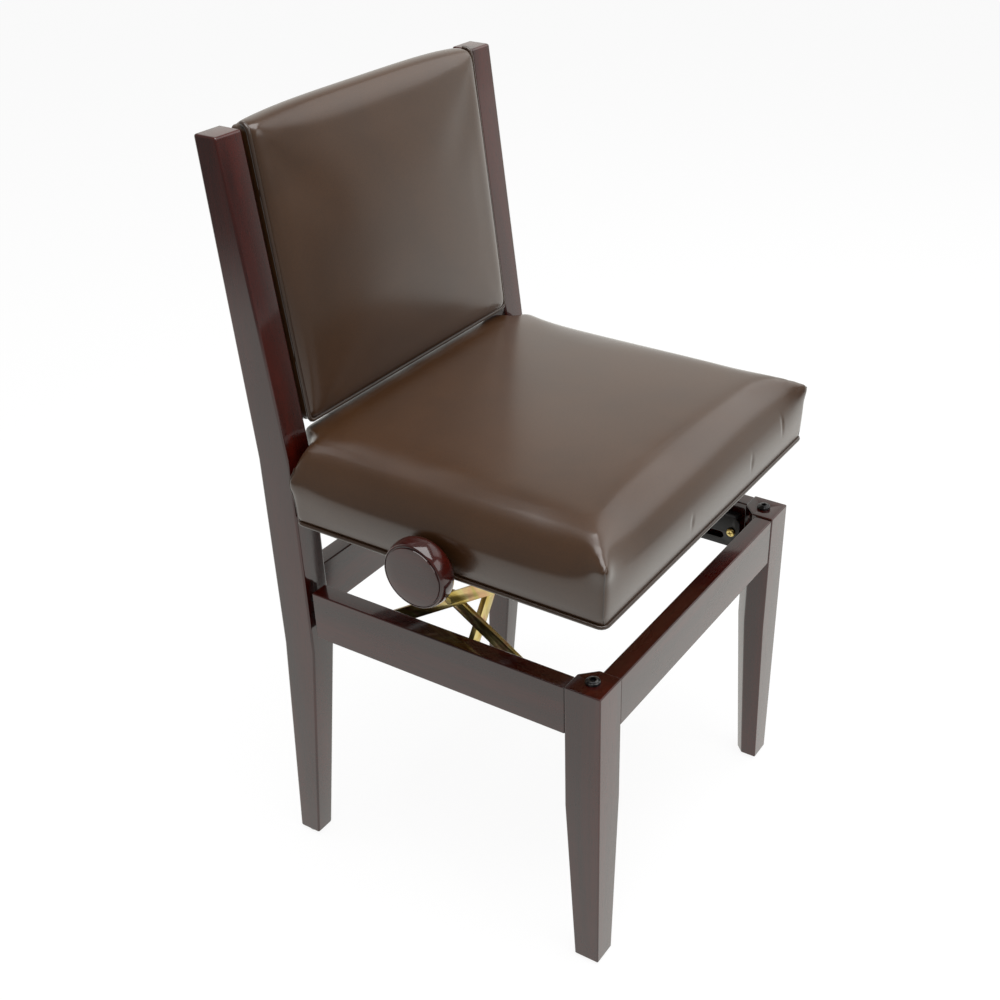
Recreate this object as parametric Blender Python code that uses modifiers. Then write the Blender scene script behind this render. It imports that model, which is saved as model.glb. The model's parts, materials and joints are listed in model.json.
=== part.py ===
"""A piano chair whose seat rises on a scissor lift, worked by a knob on the sitter's right.

Metres, +Z up. The chair faces -Y, so the sitter's right is -X. The seat stands near the top of its travel.
Places are given in the chair's own frame: X across from the middle, Y from the middle of the wooden frame's
depth, Z from the floor. The root empty then sets the middle of the chair's footprint on the origin.
"""

import math

import bmesh
import bpy
from mathutils import Matrix, Vector

# Fits
GAP = 0.0003                     # between pieces that touch
RUNNING_FIT = 0.0004             # round a pin that turns in its hole
ARM_CLEARANCE = 0.001            # between a lift arm and the plate beside it

# Wooden frame
FRAME_WIDTH = 0.430
FRAME_DEPTH = 0.404
BACK_HEIGHT = 0.837
LEG_TOP = 0.3685
LEG_SIDE = 0.041
LEG_FOOT_SIDE = 0.0295
LEG_TAPER_DROP = 0.092           # rail underside to the start of the taper
LEG_CORNER_CUT = 0.016
LEG_FOOT_CORNER_CUT = 0.010
POST_WIDTH = 0.0343
POST_FOOT_WIDTH = 0.0244
POST_DEPTH = 0.0413
POST_FOOT_DEPTH = 0.028
POST_TOP_DEPTH = 0.027
POST_FOOT_KICK = 0.017           # rear face, floor behind rail level
POST_TOP_KICK = 0.023            # rear face, top behind rail level
POST_LOW_BEND_DROP = 0.024       # rail underside to the lower bend
POST_HIGH_BEND_RISE = 0.1465     # leg top to the upper bend
RAIL_HEIGHT = 0.058
RAIL_THICKNESS = 0.021
RAIL_SET_IN = 0.0008
RAIL_DROP = 0.0015               # leg top to rail top
SIDE_RAIL_SLOT = 0.0075          # open slot between side rail and post
LEG_ARRIS = 0.0015
POST_ARRIS = 0.0025
RAIL_ARRIS = 0.0015
GLIDE_RADIUS = 0.009
GLIDE_HEIGHT = 0.003

# Frame bolts
LEG_BOLT_HEAD_RADIUS = 0.0075
LEG_BOLT_HEAD_HEIGHT = 0.004
LEG_BOLT_RADIUS = 0.004
LEG_BOLT_LENGTH = 0.045
LEG_BOLT_SOCKET_RADIUS = 0.003
LEG_BOLT_SOCKET_DEPTH = 0.0025
RAIL_BOLT_RADIUS = 0.004
RAIL_BOLT_IN_RAIL = 0.030
RAIL_BOLT_RISE = 0.043           # above the rail's underside
RAIL_BOLT_IN_POST = 0.025

# Back pad, in a frame that leans with the posts
PAD_SEAT_GAP = 0.0031            # seat crown to the pad's lower edge
PAD_TOP_RISE = 0.0035            # post top to the pad's upper edge
PAD_TOP_BOW = 0.0075             # upper edge of the cushion, its middle above its corners
PAD_SIDE_GAP = 0.0032            # post to piping
PAD_PROUD = 0.0022               # piping plane in front of the posts
PAD_CORNER = 0.007
PAD_FOAM_BACK = 0.008            # piping plane to the back board
PAD_ROLL = 0.008                 # rise of the rounded edge
PAD_CROWN = 0.0055               # rise of the middle over the rounded edge
PAD_PIPING_STOP = 0.005          # pad's upper edge to the piping's two ends
PAD_BOARD = 0.010
PAD_PANEL = 0.004
PAD_PIPING_RADIUS = 0.0022
ROD_RADIUS = 0.003
ROD_IN_POST = 0.018
ROD_INSET = 0.065                # pad's lower and upper edges to the tie rods

# Seat
SEAT_GAP = 0.086                 # leg top to the underside of the seat frame
SEAT_SIDE_OVERHANG = 0.0025      # seat frame outside the wooden frame
SEAT_FRONT_OVERHANG = 0.0035
SEAT_REAR_CLEARANCE = 0.0085     # seat frame to the posts
SEAT_BAR_WIDTH = 0.018
SEAT_BAR_HEIGHT = 0.0345
SEAT_BOARD = 0.008
SEAT_CORNER = 0.005
SEAT_PIPING_RADIUS = 0.0022
CUSHION_EDGE = 0.0124            # board to the start of the rounded edge
CUSHION_ROLL = 0.026             # rise of the rounded edge
CUSHION_CROWN = 0.009            # rise of the middle over the rounded edge
CUSHION_LOWER_OUTSET = 0.002
CUSHION_UPPER_OUTSET = 0.005

# Lift channels, along the side rails and under the seat board
CHANNEL_DEPTH = 0.0129
CHANNEL_WALL = 0.0025
CHANNEL_HEIGHT = 0.041
CHANNEL_RISE = 0.003             # rail underside to the channel's underside
CHANNEL_FRONT_CLEARANCE = 0.002  # to the front leg
CHANNEL_REAR_CLEARANCE = 0.0085  # short of the side rail's rear end
CHANNEL_NOSE_CUT = 0.014
CHANNEL_BOLT_INSET = 0.010
CHANNEL_BOLT_HEAD_RADIUS = 0.0055
CHANNEL_BOLT_HEAD_HEIGHT = 0.004
CHANNEL_BOLT_RADIUS = 0.003
CHANNEL_BOLT_IN_RAIL = 0.012
UPPER_CHANNEL_DROP = 0.010       # below the seat frame's underside
UPPER_CHANNEL_FRONT_CLEARANCE = 0.030
UPPER_CHANNEL_REAR_CLEARANCE = 0.020

# Scissor lift
ARM_WIDTH = 0.015
ARM_THICKNESS = 0.004
REAR_PIVOT_INSET = 0.0594        # post front to the rear pivots
FRONT_PIVOT_INSET = 0.0591       # front leg to the front pivots, seat up
BASE_PIVOT_RISE = 0.013          # channel underside to the lower pivots
SEAT_PIVOT_RISE = 0.0025         # seat frame underside to the upper pivots
PIN_RADIUS = 0.004
PIN_HEAD_RADIUS = 0.007
PIN_HEAD_HEIGHT = 0.0025
ROLLER_RADIUS = 0.0075
SHAFT_RADIUS = 0.005
SLOT_REACH_FRONT = 0.033         # travel of the sliding ends, seat going down
SLOT_REACH_REAR = 0.007          # travel of the sliding ends, seat going up

# Screw, nuts and jack links
SCREW_RADIUS = 0.006
SCREW_RISE = 0.0125              # seat frame underside to the screw's axis
SCREW_OFFSET = -0.017            # along Y
SCREW_COLLAR_RADIUS = 0.009
SCREW_COLLAR_WIDTH = 0.003
SCREW_HOLE_CLEARANCE = 0.0015    # in the upper channels
BUSH_WALL = 0.003
BUSH_FLANGE = 0.002
BEARING_LENGTH = 0.011
NUT_PLACE = 0.0808               # along X, middle to nut
NUT_LENGTH = 0.034
NUT_WIDTH = 0.026
NUT_TOP_WALL = 0.004             # above the bore
NUT_PLAY = 0.0026                # round the screw
LINK_PIVOT_DROP = 0.020          # screw axis to a link's upper pivot
LINK_WIDTH = 0.015
LINK_THICKNESS = 0.006
LINK_SIDE_PLAY = 0.0004
LINK_PIN_RADIUS = 0.0035
BRACKET_PIVOT_INSET = 0.012      # channel web to a link's lower pivot
BRACKET_PIVOT_RISE = 0.014       # channel underside to a link's lower pivot
BRACKET_CHEEK = 0.004
BRACKET_BASE = 0.0035
BRACKET_EDGE = 0.0095            # round the pivot

# Knob
KNOB_STANDOFF = 0.009            # seat frame to the knob's back
KNOB_LENGTH = 0.028
KNOB_FACE_RADIUS = 0.0305
KNOB_RADIUS = 0.036
KNOB_BACK_RADIUS = 0.026
KNOB_BORE_DEPTH = 0.014

# Smoothness of round shapes
TURN_STEPS = 32
PIN_SIDES = 20
ARC_STEPS = 6
SIDE_POINTS = 5
CROWN_STEPS = 8
CROWN_LAST_SHARE = 0.12          # of the width, at the flat top of a crown
CROWN_SPACING = 2.0              # above 1, rings are closer together near the edge
CROWN_FALL = 2.6                 # above 1, a crown is flatter in the middle
ROLL_FALL = 16                   # higher is a rounded edge of less width
BOW_FALL = 4                     # higher is a bow that stays closer to its edge
WELD = 0.00001
SHARP_ANGLE = math.radians(35)

# Places that follow from the sizes
HALF_WIDTH = FRAME_WIDTH / 2
FRONT = -FRAME_DEPTH / 2
REAR = FRAME_DEPTH / 2
FOOT = GLIDE_HEIGHT + GAP
LEG_REAR = FRONT + LEG_SIDE
POST_FRONT = REAR - POST_DEPTH
POST_INNER = HALF_WIDTH - POST_WIDTH
RAIL_TOP = LEG_TOP - RAIL_DROP
RAIL_BOTTOM = RAIL_TOP - RAIL_HEIGHT
RAIL_OUTER = HALF_WIDTH - RAIL_SET_IN
RAIL_INNER = RAIL_OUTER - RAIL_THICKNESS
SIDE_RAIL_REAR = POST_FRONT - SIDE_RAIL_SLOT
POST_HIGH_BEND = LEG_TOP + POST_HIGH_BEND_RISE
POST_TOP_FRONT = REAR + POST_TOP_KICK - POST_TOP_DEPTH
RAKE = math.atan((POST_TOP_FRONT - POST_FRONT) / (BACK_HEIGHT - POST_HIGH_BEND))

SEAT_UNDERSIDE = LEG_TOP + SEAT_GAP
SEAT_HALF_WIDTH = HALF_WIDTH + SEAT_SIDE_OVERHANG
SEAT_FRONT = FRONT - SEAT_FRONT_OVERHANG
SEAT_REAR = POST_FRONT - SEAT_REAR_CLEARANCE
SEAT_HALF_DEPTH = (SEAT_REAR - SEAT_FRONT) / 2
SEAT_MIDDLE = (SEAT_REAR + SEAT_FRONT) / 2
SEAT_BAR_INNER = SEAT_HALF_WIDTH - SEAT_BAR_WIDTH
SEAT_BAR_MIDDLE = SEAT_UNDERSIDE + SEAT_BAR_HEIGHT / 2
BOARD_UNDERSIDE = SEAT_UNDERSIDE + SEAT_BAR_HEIGHT + GAP
CUSHION_UNDERSIDE = BOARD_UNDERSIDE + SEAT_BOARD + GAP
SEAT_CROWN_TOP = CUSHION_UNDERSIDE + CUSHION_EDGE + CUSHION_ROLL + CUSHION_CROWN

CHANNEL_OUTER = RAIL_INNER - GAP
CHANNEL_INNER = CHANNEL_OUTER - CHANNEL_DEPTH
CHANNEL_UNDERSIDE = RAIL_BOTTOM + CHANNEL_RISE
CHANNEL_FRONT = LEG_REAR + CHANNEL_FRONT_CLEARANCE
CHANNEL_REAR = SIDE_RAIL_REAR - CHANNEL_REAR_CLEARANCE
UPPER_CHANNEL_UNDERSIDE = SEAT_UNDERSIDE - UPPER_CHANNEL_DROP
UPPER_CHANNEL_HEIGHT = BOARD_UNDERSIDE - GAP - UPPER_CHANNEL_UNDERSIDE

OUTER_ARM_MIDDLE = CHANNEL_INNER - ARM_CLEARANCE - ARM_THICKNESS / 2
INNER_ARM_MIDDLE = OUTER_ARM_MIDDLE - ARM_CLEARANCE - ARM_THICKNESS - GAP
INNER_ARM_FACE = INNER_ARM_MIDDLE - ARM_THICKNESS / 2
REAR_PIVOT = POST_FRONT - REAR_PIVOT_INSET
FRONT_PIVOT = LEG_REAR + FRONT_PIVOT_INSET
BASE_PIVOT = CHANNEL_UNDERSIDE + BASE_PIVOT_RISE
SEAT_PIVOT = SEAT_UNDERSIDE + SEAT_PIVOT_RISE
CENTRE_Y = (REAR_PIVOT + FRONT_PIVOT) / 2
CENTRE_Z = (BASE_PIVOT + SEAT_PIVOT) / 2
CHANNEL_INSIDE = CHANNEL_INNER + CHANNEL_WALL + GAP

SCREW_AXIS = SEAT_UNDERSIDE + SCREW_RISE
BUSH_RADIUS = SCREW_RADIUS + RUNNING_FIT + BUSH_WALL
LINK_TOP = SCREW_AXIS - LINK_PIVOT_DROP
LINK_FOOT = CHANNEL_UNDERSIDE + BRACKET_PIVOT_RISE
LINK_FOOT_PLACE = CHANNEL_INNER - BRACKET_PIVOT_INSET
LINK_SLOT = LINK_THICKNESS + 2 * LINK_SIDE_PLAY
KNOB_BACK = SEAT_HALF_WIDTH + KNOB_STANDOFF

PAD_LOWER_EDGE = SEAT_CROWN_TOP + PAD_SEAT_GAP
PAD_HEIGHT = (BACK_HEIGHT + PAD_TOP_RISE - PAD_LOWER_EDGE) / math.cos(RAKE)
PAD_HALF_WIDTH = POST_INNER - PAD_SIDE_GAP
PAD_FRONT = POST_FRONT + (PAD_LOWER_EDGE - POST_HIGH_BEND) * math.tan(RAKE) - PAD_PROUD

FOOTPRINT_X = (SEAT_HALF_WIDTH + CUSHION_UPPER_OUTSET - KNOB_BACK - KNOB_LENGTH) / 2
FOOTPRINT_Y = (SEAT_FRONT - CUSHION_UPPER_OUTSET + REAR + POST_TOP_KICK) / 2

SIDES = (("right", -1), ("left", 1))
ENDS = (("front", -1), ("rear", 1))

# Turns that stand a shape drawn flat in X and Y on edge, with its thickness along the named axis
TURNS = {
    "X": Matrix(((0, 0, 1), (1, 0, 0), (0, 1, 0))),
    "Y": Matrix(((1, 0, 0), (0, 0, -1), (0, 1, 0))),
    "Z": Matrix.Identity(3),
}


def new_collection(name):
    group = bpy.data.collections.new(name)
    bpy.context.scene.collection.children.link(group)
    return group


def new_material(name, colour, roughness, metallic=0.0):
    surface = bpy.data.materials.new(name)
    surface.use_nodes = True
    shader = surface.node_tree.nodes["Principled BSDF"]
    shader.inputs["Base Color"].default_value = (*colour, 1.0)
    shader.inputs["Roughness"].default_value = roughness
    shader.inputs["Metallic"].default_value = metallic
    return surface


for leftover in list(bpy.data.objects):
    bpy.data.objects.remove(leftover)

PARTS = new_collection("piano_chair")
CUTTERS = new_collection("cutters")

WOOD = new_material("mahogany_lacquer", (0.035, 0.010, 0.007), 0.28)
LEATHER = new_material("brown_leatherette", (0.050, 0.030, 0.020), 0.42)
PLYWOOD = new_material("plywood", (0.42, 0.28, 0.15), 0.7)
BLACK_STEEL = new_material("black_painted_steel", (0.02, 0.02, 0.02), 0.4)
ZINC = new_material("yellow_zinc_steel", (0.72, 0.55, 0.20), 0.3, 1.0)
BRIGHT_STEEL = new_material("bright_steel", (0.55, 0.55, 0.56), 0.3, 1.0)
NYLON = new_material("black_nylon", (0.03, 0.03, 0.03), 0.5)


# Carriers

def add_empty(name, at, parent=None):
    """An empty that carries parts. Its place is kept so that parts can be placed in the chair's frame."""
    carrier = bpy.data.objects.new(name, None)
    PARTS.objects.link(carrier)
    carrier["place"] = at
    carrier.location = at
    if parent:
        carrier.parent = parent
    return carrier


def add_part(name, data, paint, parent, at):
    part = bpy.data.objects.new(name, data)
    data.materials.append(paint)
    PARTS.objects.link(part)
    part["place"] = at
    part.parent = parent
    part.location = Vector(at) - Vector(parent["place"])
    return part


# Shapes

def finished(shape, name):
    bmesh.ops.recalc_face_normals(shape, faces=shape.faces)
    mesh = bpy.data.meshes.new(name)
    shape.to_mesh(mesh)
    shape.free()
    return mesh


def smoothed(mesh):
    mesh.shade_smooth()
    mesh.set_sharp_from_angle(angle=SHARP_ANGLE)
    return mesh


def box(name, size):
    shape = bmesh.new()
    bmesh.ops.create_cube(shape, size=1.0)
    bmesh.ops.scale(shape, vec=size, verts=shape.verts)
    return finished(shape, name)


def rod(name, radius, length, axis):
    shape = bmesh.new()
    bmesh.ops.create_cone(
        shape, cap_ends=True, segments=PIN_SIDES, radius1=radius, radius2=radius, depth=length
    )
    bmesh.ops.transform(shape, matrix=TURNS[axis].to_4x4(), verts=shape.verts)
    return smoothed(finished(shape, name))


def arc(centre, radius, start, end, steps=ARC_STEPS):
    turns = [start + (end - start) * step / steps for step in range(steps + 1)]
    return [(centre[0] + radius * math.cos(a), centre[1] + radius * math.sin(a)) for a in turns]


def circle(centre, radius):
    return arc(centre, radius, 0.0, math.tau, PIN_SIDES)[:-1]


def round_bar(first, second, radius):
    """Outline of a flat bar with round ends, centred on two points."""
    lie = math.atan2(second[1] - first[1], second[0] - first[0])
    quarter = math.pi / 2
    return arc(second, radius, lie - quarter, lie + quarter) + arc(
        first, radius, lie + quarter, lie + 3 * quarter
    )


def round_rectangle(half_width, half_height, radius):
    outline = []
    for corner, (across, up) in enumerate(((1, 1), (-1, 1), (-1, -1), (1, -1))):
        centre = (across * (half_width - radius), up * (half_height - radius))
        outline += arc(centre, radius, corner * math.pi / 2, (corner + 1) * math.pi / 2)
    return outline


def with_side_points(outline, count):
    """The same outline with points spaced along each of its straight sides."""
    dense = []
    for index, (x, y) in enumerate(outline):
        dense.append((x, y))
        next_x, next_y = outline[(index + 1) % len(outline)]
        if (index + 1) % (ARC_STEPS + 1) == 0:
            shares = [step / (count + 1) for step in range(1, count + 1)]
            dense += [(x + share * (next_x - x), y + share * (next_y - y)) for share in shares]
    return dense


def plate(name, outlines, thickness, axis):
    """A flat outline, with any holes as further outlines, given its thickness along an axis."""
    curve = bpy.data.curves.new(name, "CURVE")
    curve.dimensions = "2D"
    curve.fill_mode = "BOTH"
    curve.extrude = thickness / 2
    for outline in outlines:
        spline = curve.splines.new("POLY")
        spline.points.add(len(outline) - 1)
        spline.use_cyclic_u = True
        for point, (across, up) in zip(spline.points, outline):
            point.co = (across, up, 0.0, 1.0)
    guide = bpy.data.objects.new(name, curve)
    bpy.context.scene.collection.objects.link(guide)
    graph = bpy.context.evaluated_depsgraph_get()
    drawn = bpy.data.meshes.new_from_object(guide.evaluated_get(graph))
    bpy.data.objects.remove(guide)
    bpy.data.curves.remove(curve)
    shape = bmesh.new()
    shape.from_mesh(drawn)
    bpy.data.meshes.remove(drawn)
    bmesh.ops.remove_doubles(shape, verts=shape.verts, dist=WELD)
    bmesh.ops.transform(shape, matrix=TURNS[axis].to_4x4(), verts=shape.verts)
    return smoothed(finished(shape, name))


def loft(name, sections):
    """A solid through rings of as many points each, closed by a face at both ends."""
    shape = bmesh.new()
    rings = [[shape.verts.new(point) for point in section] for section in sections]
    for low, high in zip(rings, rings[1:]):
        for index in range(len(low)):
            after = (index + 1) % len(low)
            shape.faces.new((low[index], low[after], high[after], high[index]))
    shape.faces.new(rings[0])
    shape.faces.new(rings[-1])
    return finished(shape, name)


def cushion(name, half_width, half_height, corner, levels, axis, bow=0.0):
    """Rings stacked up, rounder as they shrink. A level is an outset, a share of the width and a height.

    The bow lifts the middle of the upper side.
    """
    sections = []
    for outset, share, height in levels:
        width = half_width + outset
        depth = half_height + outset
        section = []
        for x, y in with_side_points(round_rectangle(width, depth, corner + outset), SIDE_POINTS):
            spread = math.hypot(x / width, y / depth)
            pull = share * (share + (1 - share) / spread)
            lift = bow * max(0.0, pull * y / depth) ** BOW_FALL * (1 - (x / width) ** BOW_FALL)
            section.append(TURNS[axis] @ Vector((pull * x, pull * y + lift, height)))
        sections.append(section)
    return smoothed(loft(name, sections))


def crown_levels(outset, start, roll, rise):
    """Levels from a cushion's edge over its rounded edge to its crown."""
    levels = []
    for step in range(1, CROWN_STEPS + 1):
        inward = step / CROWN_STEPS
        share = 1 - (1 - CROWN_LAST_SHARE) * inward ** CROWN_SPACING
        height = start + roll * (1 - share ** ROLL_FALL) + rise * (1 - share ** CROWN_FALL)
        levels.append((outset, share, height))
    return levels


def add_turned(name, profile, direction, paint, parent, at, closed=False):
    """A shape turned from a profile of radii and distances, which are measured along the direction."""
    mesh = bpy.data.meshes.new(name)
    links = [(index, index + 1) for index in range(len(profile) - 1)]
    if closed:
        links.append((len(profile) - 1, 0))
    mesh.from_pydata([(radius, 0.0, height) for radius, height in profile], links, [])
    part = add_part(name, mesh, paint, parent, at)
    part.rotation_euler = Vector((0, 0, 1)).rotation_difference(Vector(direction)).to_euler()
    screw = part.modifiers.new("turned", "SCREW")
    screw.steps = TURN_STEPS
    screw.render_steps = TURN_STEPS
    screw.use_merge_vertices = True
    screw.merge_threshold = WELD
    screw.use_smooth_shade = True
    return part


def add_tube(name, outline, closed, radius, axis, paint, parent, at):
    """A round tube bent along an outline."""
    curve = bpy.data.curves.new(name, "CURVE")
    curve.dimensions = "3D"
    curve.bevel_depth = radius
    curve.bevel_resolution = 2
    curve.use_fill_caps = not closed
    spline = curve.splines.new("POLY")
    spline.points.add(len(outline) - 1)
    spline.use_cyclic_u = closed
    for point, (across, up) in zip(spline.points, outline):
        point.co = (*(TURNS[axis] @ Vector((across, up, 0.0))), 1.0)
    return add_part(name, curve, paint, parent, at)


# Finishing

def ease(part, width):
    """Round off the sharp edges of a part."""
    bevel = part.modifiers.new("eased_edges", "BEVEL")
    bevel.width = width
    bevel.segments = 2
    bevel.limit_method = "ANGLE"
    bevel.angle_limit = SHARP_ANGLE
    part.data.shade_smooth()
    part.data.set_sharp_from_angle(angle=SHARP_ANGLE)


def combine(part, operation, tools):
    """Cut or join tools. A tool is a mesh and its place in the same frame as the part's."""
    shape = bmesh.new()
    for mesh, at in tools:
        old = len(shape.verts)
        shape.from_mesh(mesh)
        shape.verts.ensure_lookup_table()
        bmesh.ops.translate(shape, verts=shape.verts[old:], vec=Vector(at) - Vector(part["place"]))
        bpy.data.meshes.remove(mesh)
    name = f"{part.name}_{operation.lower()}"
    tool = bpy.data.objects.new(name, finished(shape, name))
    CUTTERS.objects.link(tool)
    tool.parent = part
    tool.hide_render = True
    tool.display_type = "WIRE"
    boolean = part.modifiers.new(operation.lower(), "BOOLEAN")
    boolean.operation = operation
    boolean.solver = "EXACT"
    boolean.object = tool


def cut(part, *tools):
    combine(part, "DIFFERENCE", tools)


def join(part, *tools):
    combine(part, "UNION", tools)


def hole(radius, length, axis, at):
    return rod("hole", radius, length, axis), at


# Wooden frame

def leg_section(side, height, width, corner_cut):
    outer = side * HALF_WIDTH
    inner = side * (HALF_WIDTH - width)
    rear = FRONT + width
    return [
        (outer, FRONT, height),
        (inner, FRONT, height),
        (inner, rear - corner_cut, height),
        (inner + side * corner_cut, rear, height),
        (outer, rear, height),
    ]


def leg_bolt_place(side):
    return side * (HALF_WIDTH - LEG_SIDE / 2), FRONT + LEG_SIDE / 2


def front_leg(name, side, root):
    sections = [
        leg_section(side, FOOT, LEG_FOOT_SIDE, LEG_FOOT_CORNER_CUT),
        leg_section(side, RAIL_BOTTOM - LEG_TAPER_DROP, LEG_SIDE, LEG_CORNER_CUT),
        leg_section(side, LEG_TOP, LEG_SIDE, LEG_CORNER_CUT),
    ]
    leg = add_part(f"front_leg_{name}", loft("front_leg", sections), WOOD, root, (0, 0, 0))
    ease(leg, LEG_ARRIS)
    depth = LEG_BOLT_LENGTH + GAP
    cut(leg, hole(LEG_BOLT_RADIUS + GAP, 2 * depth, "Z", (*leg_bolt_place(side), LEG_TOP)))


def leg_bolt(name, side, root):
    socket_floor = LEG_BOLT_HEAD_HEIGHT - LEG_BOLT_SOCKET_DEPTH
    dome = LEG_BOLT_HEAD_HEIGHT / 2
    profile = [
        (0.0, socket_floor),
        (LEG_BOLT_SOCKET_RADIUS, socket_floor),
        (LEG_BOLT_SOCKET_RADIUS, LEG_BOLT_HEAD_HEIGHT),
        (LEG_BOLT_HEAD_RADIUS - dome, LEG_BOLT_HEAD_HEIGHT),
        (LEG_BOLT_HEAD_RADIUS, dome),
        (LEG_BOLT_HEAD_RADIUS, 0.0),
        (LEG_BOLT_RADIUS, 0.0),
        (LEG_BOLT_RADIUS, -LEG_BOLT_LENGTH),
        (0.0, -LEG_BOLT_LENGTH),
    ]
    at = (*leg_bolt_place(side), LEG_TOP + GAP)
    add_turned(f"leg_bolt_{name}", profile, (0, 0, 1), BLACK_STEEL, root, at)


def post_section(side, height, width, rear, depth):
    outer = side * HALF_WIDTH
    inner = side * (HALF_WIDTH - width)
    return [
        (outer, rear - depth, height),
        (inner, rear - depth, height),
        (inner, rear, height),
        (outer, rear, height),
    ]


def rail_bolt_place(side):
    middle = (SIDE_RAIL_REAR - RAIL_BOLT_IN_RAIL + POST_FRONT + RAIL_BOLT_IN_POST) / 2
    return side * (RAIL_OUTER - RAIL_THICKNESS / 2), middle, RAIL_BOTTOM + RAIL_BOLT_RISE


def rail_bolt_length():
    return RAIL_BOLT_IN_RAIL + SIDE_RAIL_SLOT + RAIL_BOLT_IN_POST


def rear_post(name, side, root):
    low_bend = RAIL_BOTTOM - POST_LOW_BEND_DROP
    sections = [
        post_section(side, FOOT, POST_FOOT_WIDTH, REAR + POST_FOOT_KICK, POST_FOOT_DEPTH),
        post_section(side, low_bend, POST_WIDTH, REAR, POST_DEPTH),
        post_section(side, POST_HIGH_BEND, POST_WIDTH, REAR, POST_DEPTH),
        post_section(side, BACK_HEIGHT, POST_WIDTH, REAR + POST_TOP_KICK, POST_TOP_DEPTH),
    ]
    post = add_part(f"rear_post_{name}", loft("rear_post", sections), WOOD, root, (0, 0, 0))
    ease(post, POST_ARRIS)
    bolt_hole = hole(RAIL_BOLT_RADIUS + GAP, rail_bolt_length() + 2 * GAP, "Y", rail_bolt_place(side))
    rod_holes = [
        hole(ROD_RADIUS + GAP, 2 * (ROD_IN_POST + GAP), "X", (side * POST_INNER, *rod_place(up)))
        for up in rod_heights().values()
    ]
    cut(post, bolt_hole, *rod_holes)


def side_rail(name, side, root):
    length = SIDE_RAIL_REAR - LEG_REAR - GAP
    at = (
        side * (RAIL_OUTER - RAIL_THICKNESS / 2),
        SIDE_RAIL_REAR - length / 2,
        (RAIL_TOP + RAIL_BOTTOM) / 2,
    )
    size = (RAIL_THICKNESS, length, RAIL_HEIGHT)
    rail = add_part(f"side_rail_{name}", box("side_rail", size), WOOD, root, at)
    ease(rail, RAIL_ARRIS)
    bolt_hole = hole(RAIL_BOLT_RADIUS + GAP, rail_bolt_length() + 2 * GAP, "Y", rail_bolt_place(side))
    depth = CHANNEL_BOLT_IN_RAIL + GAP
    channel_holes = [
        hole(CHANNEL_BOLT_RADIUS + GAP, 2 * depth, "X", (side * RAIL_INNER, *spot))
        for spot in channel_bolt_places().values()
    ]
    cut(rail, bolt_hole, *channel_holes)


def rail_bolt(name, side, root):
    mesh = rod("side_rail_bolt", RAIL_BOLT_RADIUS, rail_bolt_length(), "Y")
    add_part(f"side_rail_bolt_{name}", mesh, BLACK_STEEL, root, rail_bolt_place(side))


def cross_rails(root):
    height = (RAIL_TOP + RAIL_BOTTOM) / 2
    front_size = (2 * (HALF_WIDTH - LEG_SIDE - GAP), RAIL_THICKNESS, RAIL_HEIGHT)
    front_at = (0, FRONT + RAIL_SET_IN + RAIL_THICKNESS / 2, height)
    front = add_part("front_rail", box("front_rail", front_size), WOOD, root, front_at)
    ease(front, RAIL_ARRIS)
    rear_size = (2 * (POST_INNER - GAP), RAIL_THICKNESS, RAIL_HEIGHT)
    rear_at = (0, REAR - RAIL_SET_IN - RAIL_THICKNESS / 2, height)
    rear = add_part("rear_rail", box("rear_rail", rear_size), WOOD, root, rear_at)
    ease(rear, RAIL_ARRIS)


def glides(name, side, root):
    spots = {
        "front": (LEG_FOOT_SIDE / 2, FRONT + LEG_FOOT_SIDE / 2),
        "rear": (POST_FOOT_WIDTH / 2, REAR + POST_FOOT_KICK - POST_FOOT_DEPTH / 2),
    }
    for end, (inward, along) in spots.items():
        at = (side * (HALF_WIDTH - inward), along, GLIDE_HEIGHT / 2)
        add_part(f"glide_{end}_{name}", rod("glide", GLIDE_RADIUS, GLIDE_HEIGHT, "Z"), NYLON, root, at)


# Back pad

def rod_heights():
    return {"lower": ROD_INSET, "upper": PAD_HEIGHT - ROD_INSET}


def rod_depth():
    return PAD_FOAM_BACK + PAD_BOARD / 2


def rod_place(up):
    """A tie rod's Y and Z in the chair's frame, from its height up the pad."""
    along = PAD_FRONT + rod_depth() * math.cos(RAKE) + up * math.sin(RAKE)
    height = PAD_LOWER_EDGE - rod_depth() * math.sin(RAKE) + up * math.cos(RAKE)
    return along, height


def back_carrier(root):
    """The pad's own frame: X across, Y back from the piping plane, Z up the rake."""
    carrier = add_empty("back_frame", (0, PAD_FRONT, PAD_LOWER_EDGE), root)
    carrier.rotation_euler = (-RAKE, 0, 0)
    carrier["place"] = (0, 0, 0)
    return carrier


def pad_outline():
    """The line round the pad's board, which the piping follows on three sides."""
    half_width = PAD_HALF_WIDTH - PAD_PIPING_RADIUS
    half_height = PAD_HEIGHT / 2 - PAD_PIPING_RADIUS
    return round_rectangle(half_width, half_height, PAD_CORNER - PAD_PIPING_RADIUS)


def back_cushion(carrier):
    """The crowned front of the pad. It rolls over the top, where there is no piping."""
    inset = -2 * PAD_PIPING_RADIUS - GAP
    welt = PAD_PIPING_RADIUS + GAP
    levels = [
        (inset / 2, 1.0, GAP - PAD_FOAM_BACK),
        (inset / 2, 1.0, -2 * welt),
        (inset, 1.0, -welt),
        (inset, 1.0, welt),
        *crown_levels(inset, welt, PAD_ROLL, PAD_CROWN),
    ]
    mesh = cushion("back_cushion", PAD_HALF_WIDTH, PAD_HEIGHT / 2, PAD_CORNER, levels, "Y", PAD_TOP_BOW)
    add_part("back_cushion", mesh, LEATHER, carrier, (0, 0, PAD_HEIGHT / 2))


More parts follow.
